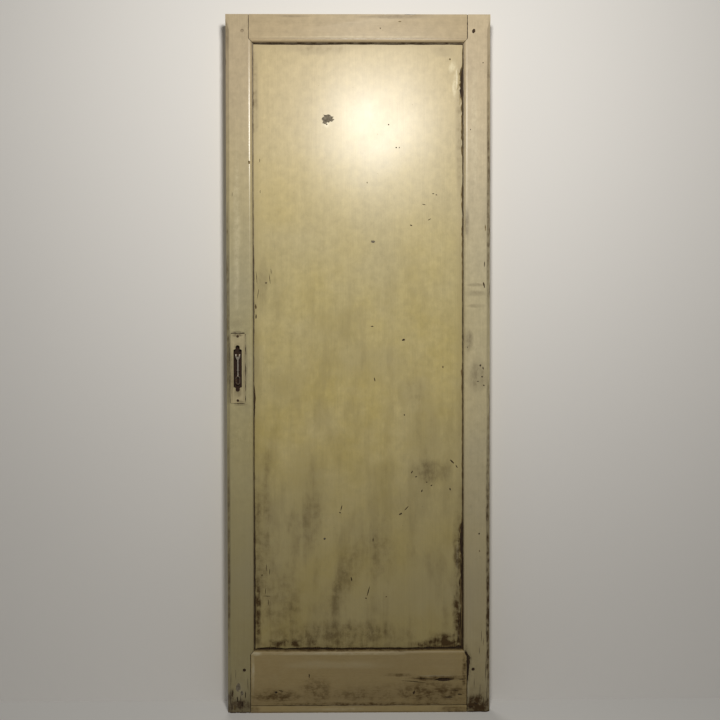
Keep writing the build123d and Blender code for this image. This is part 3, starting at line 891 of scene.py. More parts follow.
@dataclass
class SubAssembly:
    """Bench work that the door's sub-assemblies share."""

    body: str = "leaf"
    smooth_degrees: float = 34.0

    def copy(self, node_name: str) -> bpy.types.Object:
        """Copy a solid of the frame as one closed mesh, with its flat faces joined again.

        Args:
            node_name: Name of the CAD node.

        Returns:
            The merged copy, which stands for the node.
        """
        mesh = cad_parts[node_name].data.copy()
        piece = bpy.data.objects.new(node_name + "_finished", mesh)
        bpy.context.scene.collection.objects.link(piece)
        select_only(piece)
        bpy.ops.mesh.customdata_custom_splitnormals_clear()
        bpy.ops.object.mode_set(mode="EDIT")
        bpy.ops.mesh.select_all(action="SELECT")
        bpy.ops.mesh.remove_doubles(threshold=1e-6)
        bpy.ops.mesh.dissolve_limited(angle_limit=math.radians(0.4))
        bpy.ops.object.mode_set(mode="OBJECT")
        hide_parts(node_name)
        return piece

    def finish(self, piece: bpy.types.Object, slot: str, *materials: bpy.types.Material) -> bpy.types.Object:
        """Shade a piece, give it its finishes and set it on its body.

        Args:
            piece: The piece.
            slot: Not used.
            materials: Finishes in the order of the piece's slots.

        Returns:
            The piece.
        """
        select_only(piece)
        bpy.ops.object.shade_smooth_by_angle(angle=math.radians(self.smooth_degrees))
        indices = [polygon.material_index for polygon in piece.data.polygons]
        piece.data.materials.clear()
        for material in materials:
            piece.data.materials.append(material)
        for polygon, index in zip(piece.data.polygons, indices):
            polygon.material_index = min(index, len(materials) - 1)
        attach(piece, self.body)
        log.info("%s: %d faces on %s", piece.name, len(piece.data.polygons), self.body)
        return piece

    def hurt(
        self,
        piece: bpy.types.Object,
        cuts: Iterable[Any],
        face: float,
        seed: int,
        materials: tuple[bpy.types.Material, ...],
    ) -> None:
        """Cut the flaws out of a piece in one go.

        Args:
            piece: The piece that is hurt.
            cuts: Flaws, tears and nicks.
            face: Y of the hurt face, below zero for the front and above it for the back.
            seed: Seed of their raggedness.
            materials: Finishes in the order of the piece's slots.
        """
        dice = random.Random(seed)
        blades = [cut.cutter(-abs(face), dice) for cut in cuts]
        if not blades:
            return
        if face > 0:
            for blade in blades:
                blade.data.transform(Matrix.Diagonal((1.0, -1.0, 1.0, 1.0)))
                blade.data.flip_normals()
        for made in (piece, *blades):
            numbers = [polygon.material_index for polygon in made.data.polygons]
            made.data.materials.clear()
            for material in materials:
                made.data.materials.append(material)
            for polygon, number in zip(made.data.polygons, numbers):
                polygon.material_index = number
        bpy.ops.object.select_all(action="DESELECT")
        for blade in blades:
            blade.select_set(True)
        bpy.context.view_layer.objects.active = blades[0]
        bpy.ops.object.join()
        blade = bpy.context.object
        select_only(piece)
        cut = piece.modifiers.new("hurt", "BOOLEAN")
        cut.operation = "DIFFERENCE"
        cut.solver = "EXACT"
        cut.use_self = True
        cut.material_mode = "INDEX"
        cut.object = blade
        bpy.ops.object.modifier_apply(modifier=cut.name)
        bpy.data.objects.remove(blade)
        self._close(piece)

    def _close(self, piece: bpy.types.Object) -> None:
        """Merge what the cuts left closer than 0.01 mm and close the slits that this opens.

        Args:
            piece: The piece that was cut.
        """
        select_only(piece)
        bpy.ops.object.mode_set(mode="EDIT")
        bpy.ops.mesh.select_mode(type="EDGE")
        bpy.ops.mesh.select_all(action="SELECT")
        bpy.ops.mesh.remove_doubles(threshold=SMALLEST_GAP)
        bpy.ops.mesh.dissolve_degenerate(threshold=SMALLEST_GAP)
        bpy.ops.mesh.delete_loose()
        bpy.ops.mesh.select_all(action="DESELECT")
        bpy.ops.mesh.select_non_manifold(
            extend=False, use_wire=True, use_multi_face=False, use_non_contiguous=False, use_verts=False
        )
        bpy.ops.mesh.fill_holes(sides=8)
        bpy.ops.mesh.select_all(action="SELECT")
        bpy.ops.object.mode_set(mode="OBJECT")

    def bare(self, piece: bpy.types.Object, test: Callable[[Vector, Vector], bool], index: int) -> None:
        """Put another finish on the faces that pass a test.

        Args:
            piece: The piece.
            test: Takes a face's centre and normal.
            index: Slot of the other finish.
        """
        for polygon in piece.data.polygons:
            if test(polygon.center, polygon.normal):
                polygon.material_index = index


@dataclass(frozen=True)
class Palette:
    """The finishes that several sub-assemblies share, made once."""

    primer: bpy.types.Material
    timber: bpy.types.Material
    cross_timber: bpy.types.Material
    end_grain: bpy.types.Material
    dark: bpy.types.Material


@dataclass
class Panel(SubAssembly):
    """The single flat panel: a board that has cupped a little, with chips, scratches and torn margins."""

    half_width: float = 0.313
    bottom: float = 0.171
    top: float = 1.945
    thickness: float = 0.010
    columns: int = 44
    rows: int = 124
    cup: float = 0.0007
    paint_skin: float = 0.0004
    paint_seat: float = 0.0003
    flaws: tuple[Flaw, ...] = (
        Flaw(Mark.FLAKE, -87, 1721, 21, 15, 12, Under.PRIMER),
        Flaw(Mark.FLAKE, -96, 1711, 9, 9, 0, Under.PRIMER),
        Flaw(Mark.HOLE, -90.5, 1704, 2.4, 2.4),
        Flaw(Mark.HOLE, 88, 1703, 2.0, 2.4),
        Flaw(Mark.HOLE, 110, 1637, 2.6, 2.2),
        Flaw(Mark.FLAKE, 119, 1637, 2.2, 2.8, 0, Under.PRIMER),
        Flaw(Mark.FLAKE, 26, 1536, 1.8, 2.4, 0, Under.TIMBER),
        Flaw(Mark.FLAKE, 265, 1891, 3.0, 3.6, 0, Under.TIMBER),
        Flaw(Mark.SCRATCH, 217, 1504, 6, 1.6, 8),
        Flaw(Mark.SCRATCH, 226, 1501, 4, 2.1, 25),
        Flaw(Mark.SCRATCH, 190, 1473, 8, 1.7, 12),
        Flaw(Mark.SCRATCH, 206, 1430, 8, 1.8, -28),
        Flaw(Mark.SCRATCH, 153, 1413, 6, 2.6, 20),
        Flaw(Mark.FLAKE, 43, 1366, 8, 5, 0, Under.PRIMER),
        Flaw(Mark.SCRATCH, 40, 1121, 6, 2.3, 0),
        Flaw(Mark.FLAKE, 131, 1082, 6, 3.6, -10),
        Flaw(Mark.SCRATCH, 47, 967, 2.3, 9, -12),
        Flaw(Mark.FLAKE, 245, 1003, 2.4, 4.0, 0, Under.TIMBER),
        Flaw(Mark.HOLE, 133, 864, 2.0, 2.6),
        Flaw(Mark.SCRATCH, 272, 728, 13, 3.4, 44),
        Flaw(Mark.SCRATCH, 285, 714, 8, 2.1, 60),
        Flaw(Mark.SCRATCH, 155, 698, 2.6, 7, 30),
        Flaw(Mark.SCRATCH, 167, 684, 5, 2.6, -20),
        Flaw(Mark.SCRATCH, 212, 659, 5, 2.6, -30),
        Flaw(Mark.SCRATCH, 184, 643, 2.9, 6, 20),
        Flaw(Mark.SCRATCH, 198, 668, 4, 2.1, 10),
        Flaw(Mark.SCRATCH, 266, 648, 2.9, 6, -15),
        Flaw(Mark.SCRATCH, -50, 594, 2.1, 12, 14),
        Flaw(Mark.SCRATCH, -54, 580, 4.5, 2.3, 20),
        Flaw(Mark.SCRATCH, 139, 592, 2.3, 13, 42),
        Flaw(Mark.FLAKE, 122, 576, 6, 3.0, -30),
        Flaw(Mark.FLAKE, -99, 504, 5, 4, 0, Under.PRIMER),
        Flaw(Mark.HOLE, -99, 503, 1.8, 2.2),
        Flaw(Mark.SCRATCH, 42, 500, 2.1, 10, 4),
        Flaw(Mark.SCRATCH, -21, 386, 2.9, 10, -10),
        Flaw(Mark.SCRATCH, 28, 350, 2.2, 23, 15),
        Flaw(Mark.FLAKE, 21, 330, 3.0, 2.4, 0),
        Flaw(Mark.FLAKE, 80, 334, 3.0, 2.2, 0, Under.TIMBER),
        Flaw(Mark.FLAKE, -281, 398, 2.2, 3.0, 0),
        Flaw(Mark.SCRATCH, -267, 337, 15, 1.3, 2),
        Flaw(Mark.SCRATCH, -271, 352, 1.3, 13, 3),
        Flaw(Mark.SCRATCH, -263, 319, 1.3, 14, -2),
        Flaw(Mark.SCRATCH, -256, 1258, 1.3, 22, -6),
        Flaw(Mark.SCRATCH, -252, 1280, 1, 12, -4),
        Flaw(Mark.FLAKE, -267, 1247, 4, 2.4, 0),
        Flaw(Mark.SCRATCH, -268, 420, 1.2, 16, 0),
        Flaw(Mark.SCRATCH, -259, 408, 1.2, 12, 3),
        Flaw(Mark.SCRATCH, -284, 1600, 1.3, 9, 0),
        Flaw(Mark.SCRATCH, -283, 1510, 1.3, 8, 0),
        Flaw(Mark.FLAKE, -297, 1178, 3, 9, 0, Under.TIMBER),
        Flaw(Mark.SCRATCH, -294, 1262, 1.2, 26, -5),
        Flaw(Mark.SCRATCH, -290, 1216, 1.2, 20, 8),
        Flaw(Mark.FLAKE, -296, 1150, 2.4, 8, 0),
    )
    tears: tuple[Any, ...] = (
        Tear(
            "Z", -303, 1,
            ((182, 2.0), (205, 3.0), (330, 3.6), (420, 2.4), (470, 4.0), (560, 3.0), (640, 1.4), (735, 1.0),
             (760, 2.0), (860, 1.2), (880, 4.6), (925, 4.4), (950, 1.0), (1080, 0.8), (1165, 2.4),
             (1215, 1.2), (1255, 3.0), (1335, 1.6), (1360, 0.7), (1600, 0.7), (1934, 0.9)),
            0.3, 2.2, 14.0, Under.TIMBER,
        ),
        Tear(
            "Z", -303, 1,
            ((182, 1.2), (330, 2.4), (470, 2.8), (560, 2.0), (640, 0.6), (860, 0.6), (880, 3.4), (925, 3.2),
             (950, 0.5), (1165, 1.7), (1215, 0.6), (1255, 2.1), (1335, 1.0), (1360, 0.3), (1934, 0.3)),
            0.4, 3.0, 11.0,
        ),
        Tear(
            "Z", 303, -1,
            ((182, 9.0), (215, 7.0), (300, 5.0), (356, 8.0), (400, 9.0), (440, 6.0), (480, 12.0), (535, 10.0),
             (552, 3.0), (640, 2.2), (760, 3.0), (900, 2.2), (990, 4.6), (1010, 2.2), (1300, 2.6),
             (1400, 4.0), (1440, 2.2), (1500, 4.8), (1560, 2.2), (1600, 3.2), (1690, 5.2), (1775, 5.0), (1795, 10.0),
             (1830, 13.0), (1850, 9.0), (1872, 3.0), (1934, 1.6)),
            0.45, 0.6, 9.0, Under.TIMBER,
        ),
        Tear(
            "Z", 303, -1,
            ((182, 3.5), (300, 1.4), (380, 4.4), (440, 3.0), (500, 7.5), (535, 7.0), (552, 1.6), (760, 1.0),
             (1050, 1.3), (1300, 0.8), (1500, 1.8), (1600, 1.0), (1775, 2.8), (1795, 8.0), (1830, 7.0),
             (1872, 1.6), (1934, 0.8)),
            0.45, 3.2, 11.0,
        ),
        Flaw(Mark.SPLIT, 297, 1812, 2.2, 26, 4),
        Flaw(Mark.SPLIT, 294, 508, 1.8, 34, 3),
        Flaw(Mark.SPLIT, 298, 420, 1.6, 46, -2),
        Flaw(Mark.SPLIT, 294, 372, 1.6, 30, 2),
        Flaw(Mark.SPLIT, 291, 236, 1.8, 52, 1),
        Flaw(Mark.SPLIT, 297, 262, 1.4, 60, -1),
        Tear(
            "X", 181, 1,
            ((-302, 2.4), (-285, 6.4), (-240, 7.0), (-215, 3.2), (-170, 5.6), (-110, 6.2), (-40, 3.6),
             (20, 5.4), (110, 4.0), (170, 3.6), (205, 7.0), (260, 11.0), (302, 13.0)),
            0.3, 0.8, 14.0, Under.TIMBER,
        ),
        Tear(
            "X", 181, 1,
            ((-302, 1.4), (-285, 5.0), (-240, 5.6), (-215, 2.0), (-170, 4.4), (-110, 5.0), (-70, 2.4),
             (20, 4.0), (90, 2.6), (205, 4.6), (302, 8.0)),
            0.4, 2.6, 11.0,
        ),
        # Along the top, the dark cut under the rail's moulding is a gap, darkened as a painted shadow of the
        # moulding.
        Tear("X", 1935, -1, ((-302, 2.4), (-160, 4.2), (-110, 3.0), (302, 2.6)), 0.25, 2.4, 19.0),
    )

    back_flaws: tuple[Any, ...] = (
        Tear(
            "Z", -303, 1,
            ((182, 2.4), (420, 1.2), (700, 3.0), (1100, 0.8), (1500, 2.0), (1934, 1.0)),
            0.4, 1.8, 13.0,
        ),
        Tear(
            "Z", 303, -1,
            ((182, 3.6), (360, 1.4), (820, 2.2), (1240, 1.0), (1640, 2.4), (1934, 1.2)),
            0.4, 1.8, 13.0,
        ),
        Tear("X", 181, 1, ((-302, 3.0), (-180, 1.6), (60, 3.4), (230, 2.0), (302, 5.0)), 0.35, 1.8, 14.0),
        Flaw(Mark.FLAKE, 122, 1460, 9, 6, 20, Under.PRIMER),
        Flaw(Mark.FLAKE, -212, 740, 6, 9, -10, Under.PRIMER),
        Flaw(Mark.SCRATCH, -40, 1180, 22, 1.4, 34),
        Flaw(Mark.SCRATCH, -66, 1140, 14, 1.2, 40),
        Flaw(Mark.SCRATCH, 196, 902, 1.3, 24, 12),
        Flaw(Mark.SCRATCH, 214, 560, 1.4, 16, -20),
        Flaw(Mark.SCRATCH, -150, 420, 12, 1.5, -14),
        Flaw(Mark.SCRATCH, 20, 330, 1.2, 18, 6),
        Flaw(Mark.HOLE, 8, 1702, 1.8, 1.8),
        Flaw(Mark.HOLE, -118, 1330, 1.6, 1.8),
        Flaw(Mark.FLAKE, 262, 236, 8, 12, 14, Under.TIMBER),
        Flaw(Mark.FLAKE, -270, 250, 5, 9, 0, Under.TIMBER),
    )
    curls: tuple[tuple[float, float, float, float, float], ...] = (
        (284.0, 1832.0, 9.0, 62.0, 2.6),
        (290.0, 1776.0, 5.0, 40.0, 1.6),
        (291.0, 505.0, 4.0, 44.0, 1.4),
        (294.0, 1500.0, 3.0, 36.0, 1.0),
        (287.0, 232.0, 5.0, 60.0, 1.8),
    )

    def _curl(self, number: int, enamel: bpy.types.Material) -> None:
        """Make one tongue of paint that has lifted off beside the right margin.

        Args:
            number: Which of the curls.
            enamel: The panel's enamel.
        """
        x, z, width, height, lift = (part * MM for part in self.curls[number])
        dice = random.Random(70 + number)
        bpy.ops.object.select_all(action="DESELECT")
        bpy.ops.mesh.primitive_grid_add(x_subdivisions=4, y_subdivisions=12, size=2.0)
        tongue = bpy.context.object
        tongue.name = f"lifted_paint_{number + 1}"
        reaches: dict[float, float] = {}
        for vertex in tongue.data.vertices:
            across, along = (vertex.co.x + 1) / 2, vertex.co.y
            key = round(along, 3)
            if key not in reaches:
                reaches[key] = (1.0 - along * along) ** 0.7 * (0.75 + 0.5 * dice.random()) + 0.06
            reach = reaches[key]
            vertex.co = (
                x + width * across * reach,
                -self.thickness / 2 + self.paint_seat - lift * across**1.6 * reach,
                z + height / 2 * along,
            )
        skin = tongue.modifiers.new("skin", "SOLIDIFY")
        skin.thickness = self.paint_skin
        skin.offset = 0.0
        bpy.ops.object.modifier_apply(modifier=skin.name)
        bpy.ops.object.mode_set(mode="EDIT")
        face_outwards()
        self.finish(tongue, "painted_wood", enamel)

    def build(self, palette: Palette) -> None:
        """Make the panel and lay its finish on.

        Args:
            palette: The shared finishes.
        """
        bpy.ops.object.select_all(action="DESELECT")
        bpy.ops.mesh.primitive_grid_add(
            x_subdivisions=self.columns, y_subdivisions=self.rows, size=2.0, rotation=(math.pi / 2, 0, 0)
        )
        board = bpy.context.object
        board.name = "panel_finished"
        bpy.ops.object.transform_apply(location=False, rotation=True, scale=False)
        middle = Vector((0, -self.thickness / 2, (self.bottom + self.top) / 2))
        size = (self.half_width, 1.0, (self.top - self.bottom) / 2, 1.0)
        board.data.transform(Matrix.Translation(middle) @ Matrix.Diagonal(size))
        thicken((0.0, self.thickness, 0.0))
        face_outwards()
        waves = bpy.data.textures.new("board_movement", "CLOUDS")
        waves.noise_scale = 0.22
        waves.noise_depth = 1
        moved = board.modifiers.new("board_movement", "DISPLACE")
        moved.texture = waves
        moved.texture_coords = "LOCAL"
        moved.direction = "Y"
        moved.strength = self.cup
        bpy.ops.object.modifier_apply(modifier=moved.name)
        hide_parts("panel")
        stains_and_shade = (
            Patch(-278, 500, 40, 330, 0.3),
            Patch(-230, 330, 80, 140, 0.26),
            Patch(-150, 560, 70, 130, 0.25, 24),
            Patch(-35, 400, 46, 150, 0.26, 24),
            Patch(190, 830, 70, 150, 0.22),
            Patch(150, 930, 60, 50, 0.3),
            Patch(210, 700, 70, 46, 0.4),
            Patch(70, 700, 60, 40, 0.12),
            Patch(40, 1010, 150, 80, 0.12),
            Patch(-60, 1130, 120, 60, 0.08),
            Patch(-200, 960, 80, 60, 0.14, -20),
            Patch(-150, 700, 60, 110, 0.14),
            Patch(60, 470, 60, 110, 0.26),
            Patch(262, 204, 70, 28, 0.95),
            Patch(200, 196, 60, 14, 0.6),
            Patch(-200, 200, 110, 16, 0.55),
            Patch(-292, 300, 12, 130, 0.6),
            Patch(288, 260, 20, 130, 0.7),
            Patch(-60, 225, 260, 46, 0.36),
            Patch(292, 1700, 14, 220, 0.35),
            Patch(288, 480, 18, 120, 0.55),
            Patch(-296, 1780, 12, 160, 0.4),
            Patch(-276, 1250, 20, 90, 0.36),
            Patch(-120, 1917, 110, 20, 0.34),
            Patch(250, 1912, 50, 20, 0.3),
        )
        # Pale patches: painted highlights on the lifted paint and the torn right edge, and round the chip near the
        # hot spot.
        rubs_and_highlights = (
            Patch(281, 1822, 9, 50, 1.0, 6),
            Patch(274, 1872, 12, 24, 0.8, 20),
            Patch(-92, 1703, 15, 12, 1.0),
            Patch(287, 455, 4, 60, 0.6),
            Patch(291, 240, 3.5, 66, 0.9),
        )
        enamel = OilEnamel(
            "oil_enamel_brushed_on_panel",
            stains_and_shade,
            rubs_and_highlights,
            margins=(-0.303, 0.303, 0.181, 1.935),
            cream="#c9ba87",
            ochre="#bcab6d",
            grey_cream="#b7ab82",
            warm_cream="#c5b38c",
            soot_and_shade="#4a3719",
            streaky=0.3,
            wiped=0.18,
        ).material()
        finishes = (enamel, palette.primer, palette.timber, palette.dark)
        self.hurt(board, (*self.tears, *self.flaws), -self.thickness / 2, 11, finishes)
        self.hurt(board, self.back_flaws, self.thickness / 2, 13, finishes)
        self.finish(board, "painted_wood", *finishes)
        for number in range(len(self.curls)):
            self._curl(number, enamel)


@dataclass
class FrameTimbers(SubAssembly):
    """Stiles, rails and the strip under the rail: painted pine with open shoulders and knocked arrises."""

    smooth_degrees: float = 25.0
    face: float = -0.019
    height: float = 2.015
    left_flaws: tuple[Any, ...] = (
        Flaw(Mark.HOLE, -377, 176, 2.2, 2.6),
        Flaw(Mark.GOUGE, -313, 1592, 4.0, 8.0, 0, Under.TIMBER),
        Flaw(Mark.SCRATCH, -362, 1500, 1.0, 10, 0),
        Flaw(Mark.FLAKE, -366, 58, 2.4, 14, 4),
        Flaw(Mark.FLAKE, -352, 40, 2.0, 12, -6),
        Flaw(Mark.FLAKE, -338, 26, 3.0, 12, 2),
        Flaw(Mark.FLAKE, -329, 52, 1.6, 12, 0),
        Flaw(Mark.FLAKE, -350, 74, 9, 15, 8, Under.PRIMER),
        Flaw(Mark.FLAKE, -339, 58, 5, 9, -12, Under.PRIMER),
        Flaw(Mark.SPLIT, -371, 96, 0.9, 34, 2),
        Flaw(Mark.SPLIT, -373, 40, 1.1, 28, -1),
        Flaw(Mark.SPLIT, -344, 34, 1.0, 30, 3),
        Flaw(Mark.SPLIT, -322, 84, 0.8, 26, -2),
        Flaw(Mark.SPLIT, -357, 112, 0.7, 22, 1),
        Flaw(Mark.FLAKE, -360, 16, 3.0, 9, 0, Under.TIMBER),
        Nick((-380, -15, 1290), (1.6, 4, 32)),
        Nick((-380, -15, 1205), (1.4, 4, 24)),
        Nick((-380, -15, 1120), (1.8, 4, 44)),
        Nick((-380, -14, 1880), (1.5, 4, 14)),
        Nick((-381, -15, 640), (1.6, 4, 26)),
        Nick((-381, -17, 8), (7, 7, 16)),
        Nick((-352, -19, -2), (9, 5, 5)),
        Nick((-322, -19, -1), (8, 4, 4)),
        Tear(
            "Z", -327, 1,
            ((901, 0.2), (912, 2.4), (928, 0.2), (952, 2.2), (966, 0.3), (1000, 2.6), (1022, 0.2),
             (1056, 2.2), (1072, 0.2), (1099, 1.8)),
            0.3, 1.6, 4.0,
        ),
        Tear(
            "Z", -369, -1,
            ((901, 1.8), (930, 0.2), (960, 1.6), (1010, 0.2), (1040, 2.0), (1099, 0.6)),
            0.3, 1.6, 4.0,
        ),
        Tear("X", 900, -1, ((-368, 0.6), (-345, 1.8), (-328, 1.2)), 0.4, 1.6, 4.0),
        Tear("X", 1100, 1, ((-368, 2.6), (-345, 1.4), (-328, 3.0)), 0.4, 1.6, 4.0),
    )
    right_flaws: tuple[Any, ...] = (
        Flaw(Mark.HOLE, 359, 1877, 1.8, 2.0),
        Flaw(Mark.HOLE, 323, 1686, 1.6, 1.8),
        Flaw(Mark.HOLE, 349, 520, 2.4, 2.8),
        Flaw(Mark.FLAKE, 350, 470, 2.2, 3.0, 0, Under.TIMBER),
        Flaw(Mark.FLAKE, 311, 1084, 2.6, 4.0),
        Flaw(Mark.FLAKE, 312, 1061, 4.0, 4.6, 15),
        Flaw(Mark.SPLIT, 368, 120, 1.0, 44, 1),
        Flaw(Mark.SPLIT, 372, 52, 1.2, 36, -1),
        Flaw(Mark.SPLIT, 352, 62, 0.9, 30, 2),
        Flaw(Mark.SPLIT, 362, 30, 1.0, 24, -3),
        Flaw(Mark.SPLIT, 335, 84, 0.8, 24, 1),
        Flaw(Mark.SPLIT, 370, 232, 0.9, 40, 0),
        Flaw(Mark.SCRATCH, 356, 222, 1.0, 26, 0),
        Flaw(Mark.SCRATCH, 362, 205, 0.8, 18, 2),
        Flaw(Mark.SCRATCH, 350, 180, 0.8, 16, -2),
        Flaw(Mark.FLAKE, 352, 1008, 3.0, 4.0, 20),
        Flaw(Mark.FLAKE, 360, 1000, 2.2, 5.0, -10),
        Flaw(Mark.FLAKE, 357, 975, 3.0, 3.0, 10),
        Flaw(Mark.FLAKE, 345, 962, 4.0, 1.6, 0),
        Flaw(Mark.FLAKE, 362, 950, 3.4, 2.4, 35),
        Flaw(Mark.FLAKE, 366, 1405, 1.8, 12, 0, Under.TIMBER),
        Flaw(Mark.FLAKE, 362, 1240, 3.0, 10, -14),
        Flaw(Mark.FLAKE, 364, 1300, 1.6, 10, 4),
        Flaw(Mark.FLAKE, 340, 24, 8, 2.0, 0),
        Flaw(Mark.FLAKE, 324, 16, 7, 3.0, 0),
        Flaw(Mark.FLAKE, 330, 40, 6, 1.4, 0),
        Nick((382, -14, 1838), (4, 6, 10)),
        Nick((380, -15, 1560), (1.6, 4, 30)),
        Nick((380, -15, 1400), (2.0, 4, 18)),
        Nick((380, -15, 1225), (2.2, 5, 22)),
        Nick((380, -14, 870), (2.4, 4, 66)),
        Nick((380, -14, 780), (2.0, 4, 34)),
        Nick((380, -15, 660), (1.8, 4, 30)),
        Nick((381, -15, 330), (2.0, 5, 40)),
        Nick((381, -15, 240), (2.0, 5, 30)),
        Nick((382, -18, 4), (6, 6, 12)),
        Nick((350, -19, -1), (10, 4, 4)),
        *GAPING_SHOULDER,
        Flaw(Mark.GOUGE, 332, 1967.5, 6.4, 8.6, 0),
    )
    bottom_flaws: tuple[Any, ...] = (
        Flaw(Mark.SCRATCH, 250, 97, 46, 9.0, -2, Under.TIMBER),
        Flaw(Mark.SPLIT, 246, 96, 42, 7.0, -2),
        Flaw(Mark.SPLIT, 190, 98, 52, 1.6, 1),
        Flaw(Mark.SPLIT, 150, 91, 40, 1.4, 3),
        Flaw(Mark.SPLIT, 300, 96, 16, 1.6, -3),
        Flaw(Mark.SCRATCH, 178, 88, 26, 1.2, 2),
        *GAPING_SHOULDER,
        Flaw(Mark.FLAKE, 160, 58, 4.0, 7.0, 20),
        Flaw(Mark.FLAKE, -240, 60, 5.0, 4.0, 0),
        Flaw(Mark.FLAKE, -226, 64, 8.0, 2.0, 8),
        Flaw(Mark.FLAKE, 96, 26, 8.0, 2.6, 0, Under.TIMBER),
        Flaw(Mark.FLAKE, -144, 108, 2.0, 8, 0),
        Flaw(Mark.FLAKE, 260, 44, 16, 2.2, 0),
        Flaw(Mark.FLAKE, 294, 52, 9, 2.2, 0),
        Flaw(Mark.FLAKE, 280, 64, 10, 1.4, 4),
    )
    top_flaws: tuple[Any, ...] = (
        Flaw(Mark.FLAKE, 64, 1975, 2.2, 2.0, 0),
        Flaw(Mark.FLAKE, 120, 1994, 6.0, 1.6, 0, Under.TIMBER),
        Nick((150, -20, 2015), (22, 3, 1.6)),
        Nick((80, -20, 2016), (14, 3, 1.8)),
        Nick((-20, -20, 2016), (10, 3, 1.6)),
    )

    back_flaws: tuple[Any, ...] = (
        Tear("Z", -327, 1, ((901, 1.2), (980, 1.8), (1040, 0.9), (1099, 1.6)), 0.8, 1.4, 4.0),
        Tear("Z", -369, -1, ((901, 1.4), (960, 0.9), (1040, 1.7), (1099, 1.0)), 0.8, 1.4, 4.0),
        Tear("X", 900, -1, ((-368, 1.6), (-345, 1.0), (-328, 1.4)), 0.6, 1.4, 4.0),
        Tear("X", 1100, 1, ((-368, 1.2), (-345, 2.0), (-328, 1.4)), 0.6, 1.4, 4.0),
        Flaw(Mark.FLAKE, -350, 44, 2.6, 12, 4),
        Flaw(Mark.FLAKE, -366, 30, 4.0, 9, -4, Under.TIMBER),
        Flaw(Mark.FLAKE, -334, 880, 3.0, 5.0, 10, Under.PRIMER),
        Flaw(Mark.HOLE, -346, 1504, 1.8, 2.0),
    )

    def open_joints(self, side: int) -> dict[str, tuple[OpenJoint, ...]]:
        """Give the joints that have opened between one stile and the rails.

        Args:
            side: -1 for the left stile and 1 for the right one.

        Returns:
            The joints, by the name of the rail at which they are.
        """
        shoulder, sight = side * 314.0, side * 303.0
        widths = (1.6, 1.6) if side < 0 else (2.0, 2.2)
        mitre = ((1.3, 1.0), (3.0, 11.5))
        return {
            "top_rail": (
                OpenJoint((shoulder, 1946), (shoulder, 2017), widths),
                OpenJoint((shoulder, 1946), (sight, 1935), *mitre),
            ),
            "bottom_rail": (
                OpenJoint((shoulder, 21.4), (shoulder, 170), widths),
                OpenJoint((shoulder, 170), (sight, 181), *mitre),
            ),
            "rail_strip": (OpenJoint((shoulder, -2), (shoulder, 21.4), widths),),
        }

    def _is_end(self, centre: Vector, normal: Vector) -> bool:
        """Tell whether a face lies on the very top or the very foot of the leaf."""
        near = 1e-4
        return abs(normal.z) > 0.9 and not near <= centre.z <= self.height - near

    @property
    def strip_joint(self) -> OpenJoint:
        """Give the joint that has opened between the bottom rail and the strip under it."""
        return OpenJoint((-314, 21.2), (314, 21.2), (1.5, 1.7), (3.0, 3.0), 0.5, 17.0)

    def build(self, palette: Palette) -> None:
        """Make the stiles, rails and strip.

        Args:
            palette: The shared finishes.
        """
        stile_stains_and_shade = {
            "left_stile": (
                Patch(-345, 22, 40, 26, 0.6),
                Patch(-372, 40, 14, 40, 0.5),
                # The long bands at x -376 on the outer bevel: grime, and painted shade of the bevel turned from the
                # lamp.
                Patch(-376, 1180, 6, 330, 0.8),
                Patch(-376, 500, 6, 420, 0.6),
                Patch(-375, 1960, 10, 60, 0.45),
                Patch(-325, 1010, 6, 110, 0.75),
                Patch(-371, 1000, 5, 120, 0.8),
                Patch(-348, 1104, 24, 6, 0.85),
                Patch(-340, 896, 24, 5, 0.6),
                Patch(-352, 1130, 30, 18, 0.25),
            ),
            "right_stile": (
                # The long bands at x 375 on the outer bevel: grime, and painted shade of the bevel turned from the
                # lamp.
                Patch(375, 1500, 7, 480, 0.85),
                Patch(345, 975, 34, 56, 0.5),
                Patch(335, 1215, 40, 10, 0.4),
                Patch(338, 1240, 36, 6, 0.4),
                Patch(334, 1180, 36, 7, 0.35),
                Patch(318, 1080, 16, 40, 0.6),
                Patch(375, 500, 8, 500, 1.0),
                Patch(345, 24, 44, 34, 0.75),
                Patch(314, 135, 14, 64, 0.7),
                Patch(314, 1420, 8, 60, 0.6),
            ),
        }
        stile_rubs = {
            "left_stile": (Patch(-345, 64, 18, 34, 0.35), Patch(-350, 1400, 12, 260, 0.3)),
            "right_stile": (Patch(334, 1690, 12, 220, 0.3), Patch(318, 60, 5, 40, 0.5)),
        }
        stile_tones = {
            "left_stile": {"cream": "#b7ac80", "ochre": "#afa374", "gloss": 0.25, "shine": 0.6},
            "right_stile": {
                "cream": "#c9bc95",
                "ochre": "#beb085",
                "grey_cream": "#b9af91",
                "warm_cream": "#bfad90",
            },
        }
        opened = {side: self.open_joints(side) for side in (-1, 1)}
        for side, name, cuts in ((-1, "left_stile", self.left_flaws), (1, "right_stile", self.right_flaws)):
            stile = self.copy(name)
            tones = stile_tones[name]
            enamel = OilEnamel(
                "oil_enamel_brushed_on_" + name, stile_stains_and_shade[name], stile_rubs[name], **tones
            ).material()
            finishes = (enamel, palette.primer, palette.timber, palette.dark, palette.end_grain)
            joints = tuple(joint for group in opened[side].values() for joint in group)
            self.hurt(stile, (*cuts, *joints), self.face, 23 + 6 * side, finishes)
            behind = self.back_flaws if side < 0 else ()
            self.hurt(stile, (*behind, *joints), -self.face, 43 + side, finishes)
            self.bare(stile, self._is_end, 4)
            self.finish(stile, "painted_wood", *finishes)
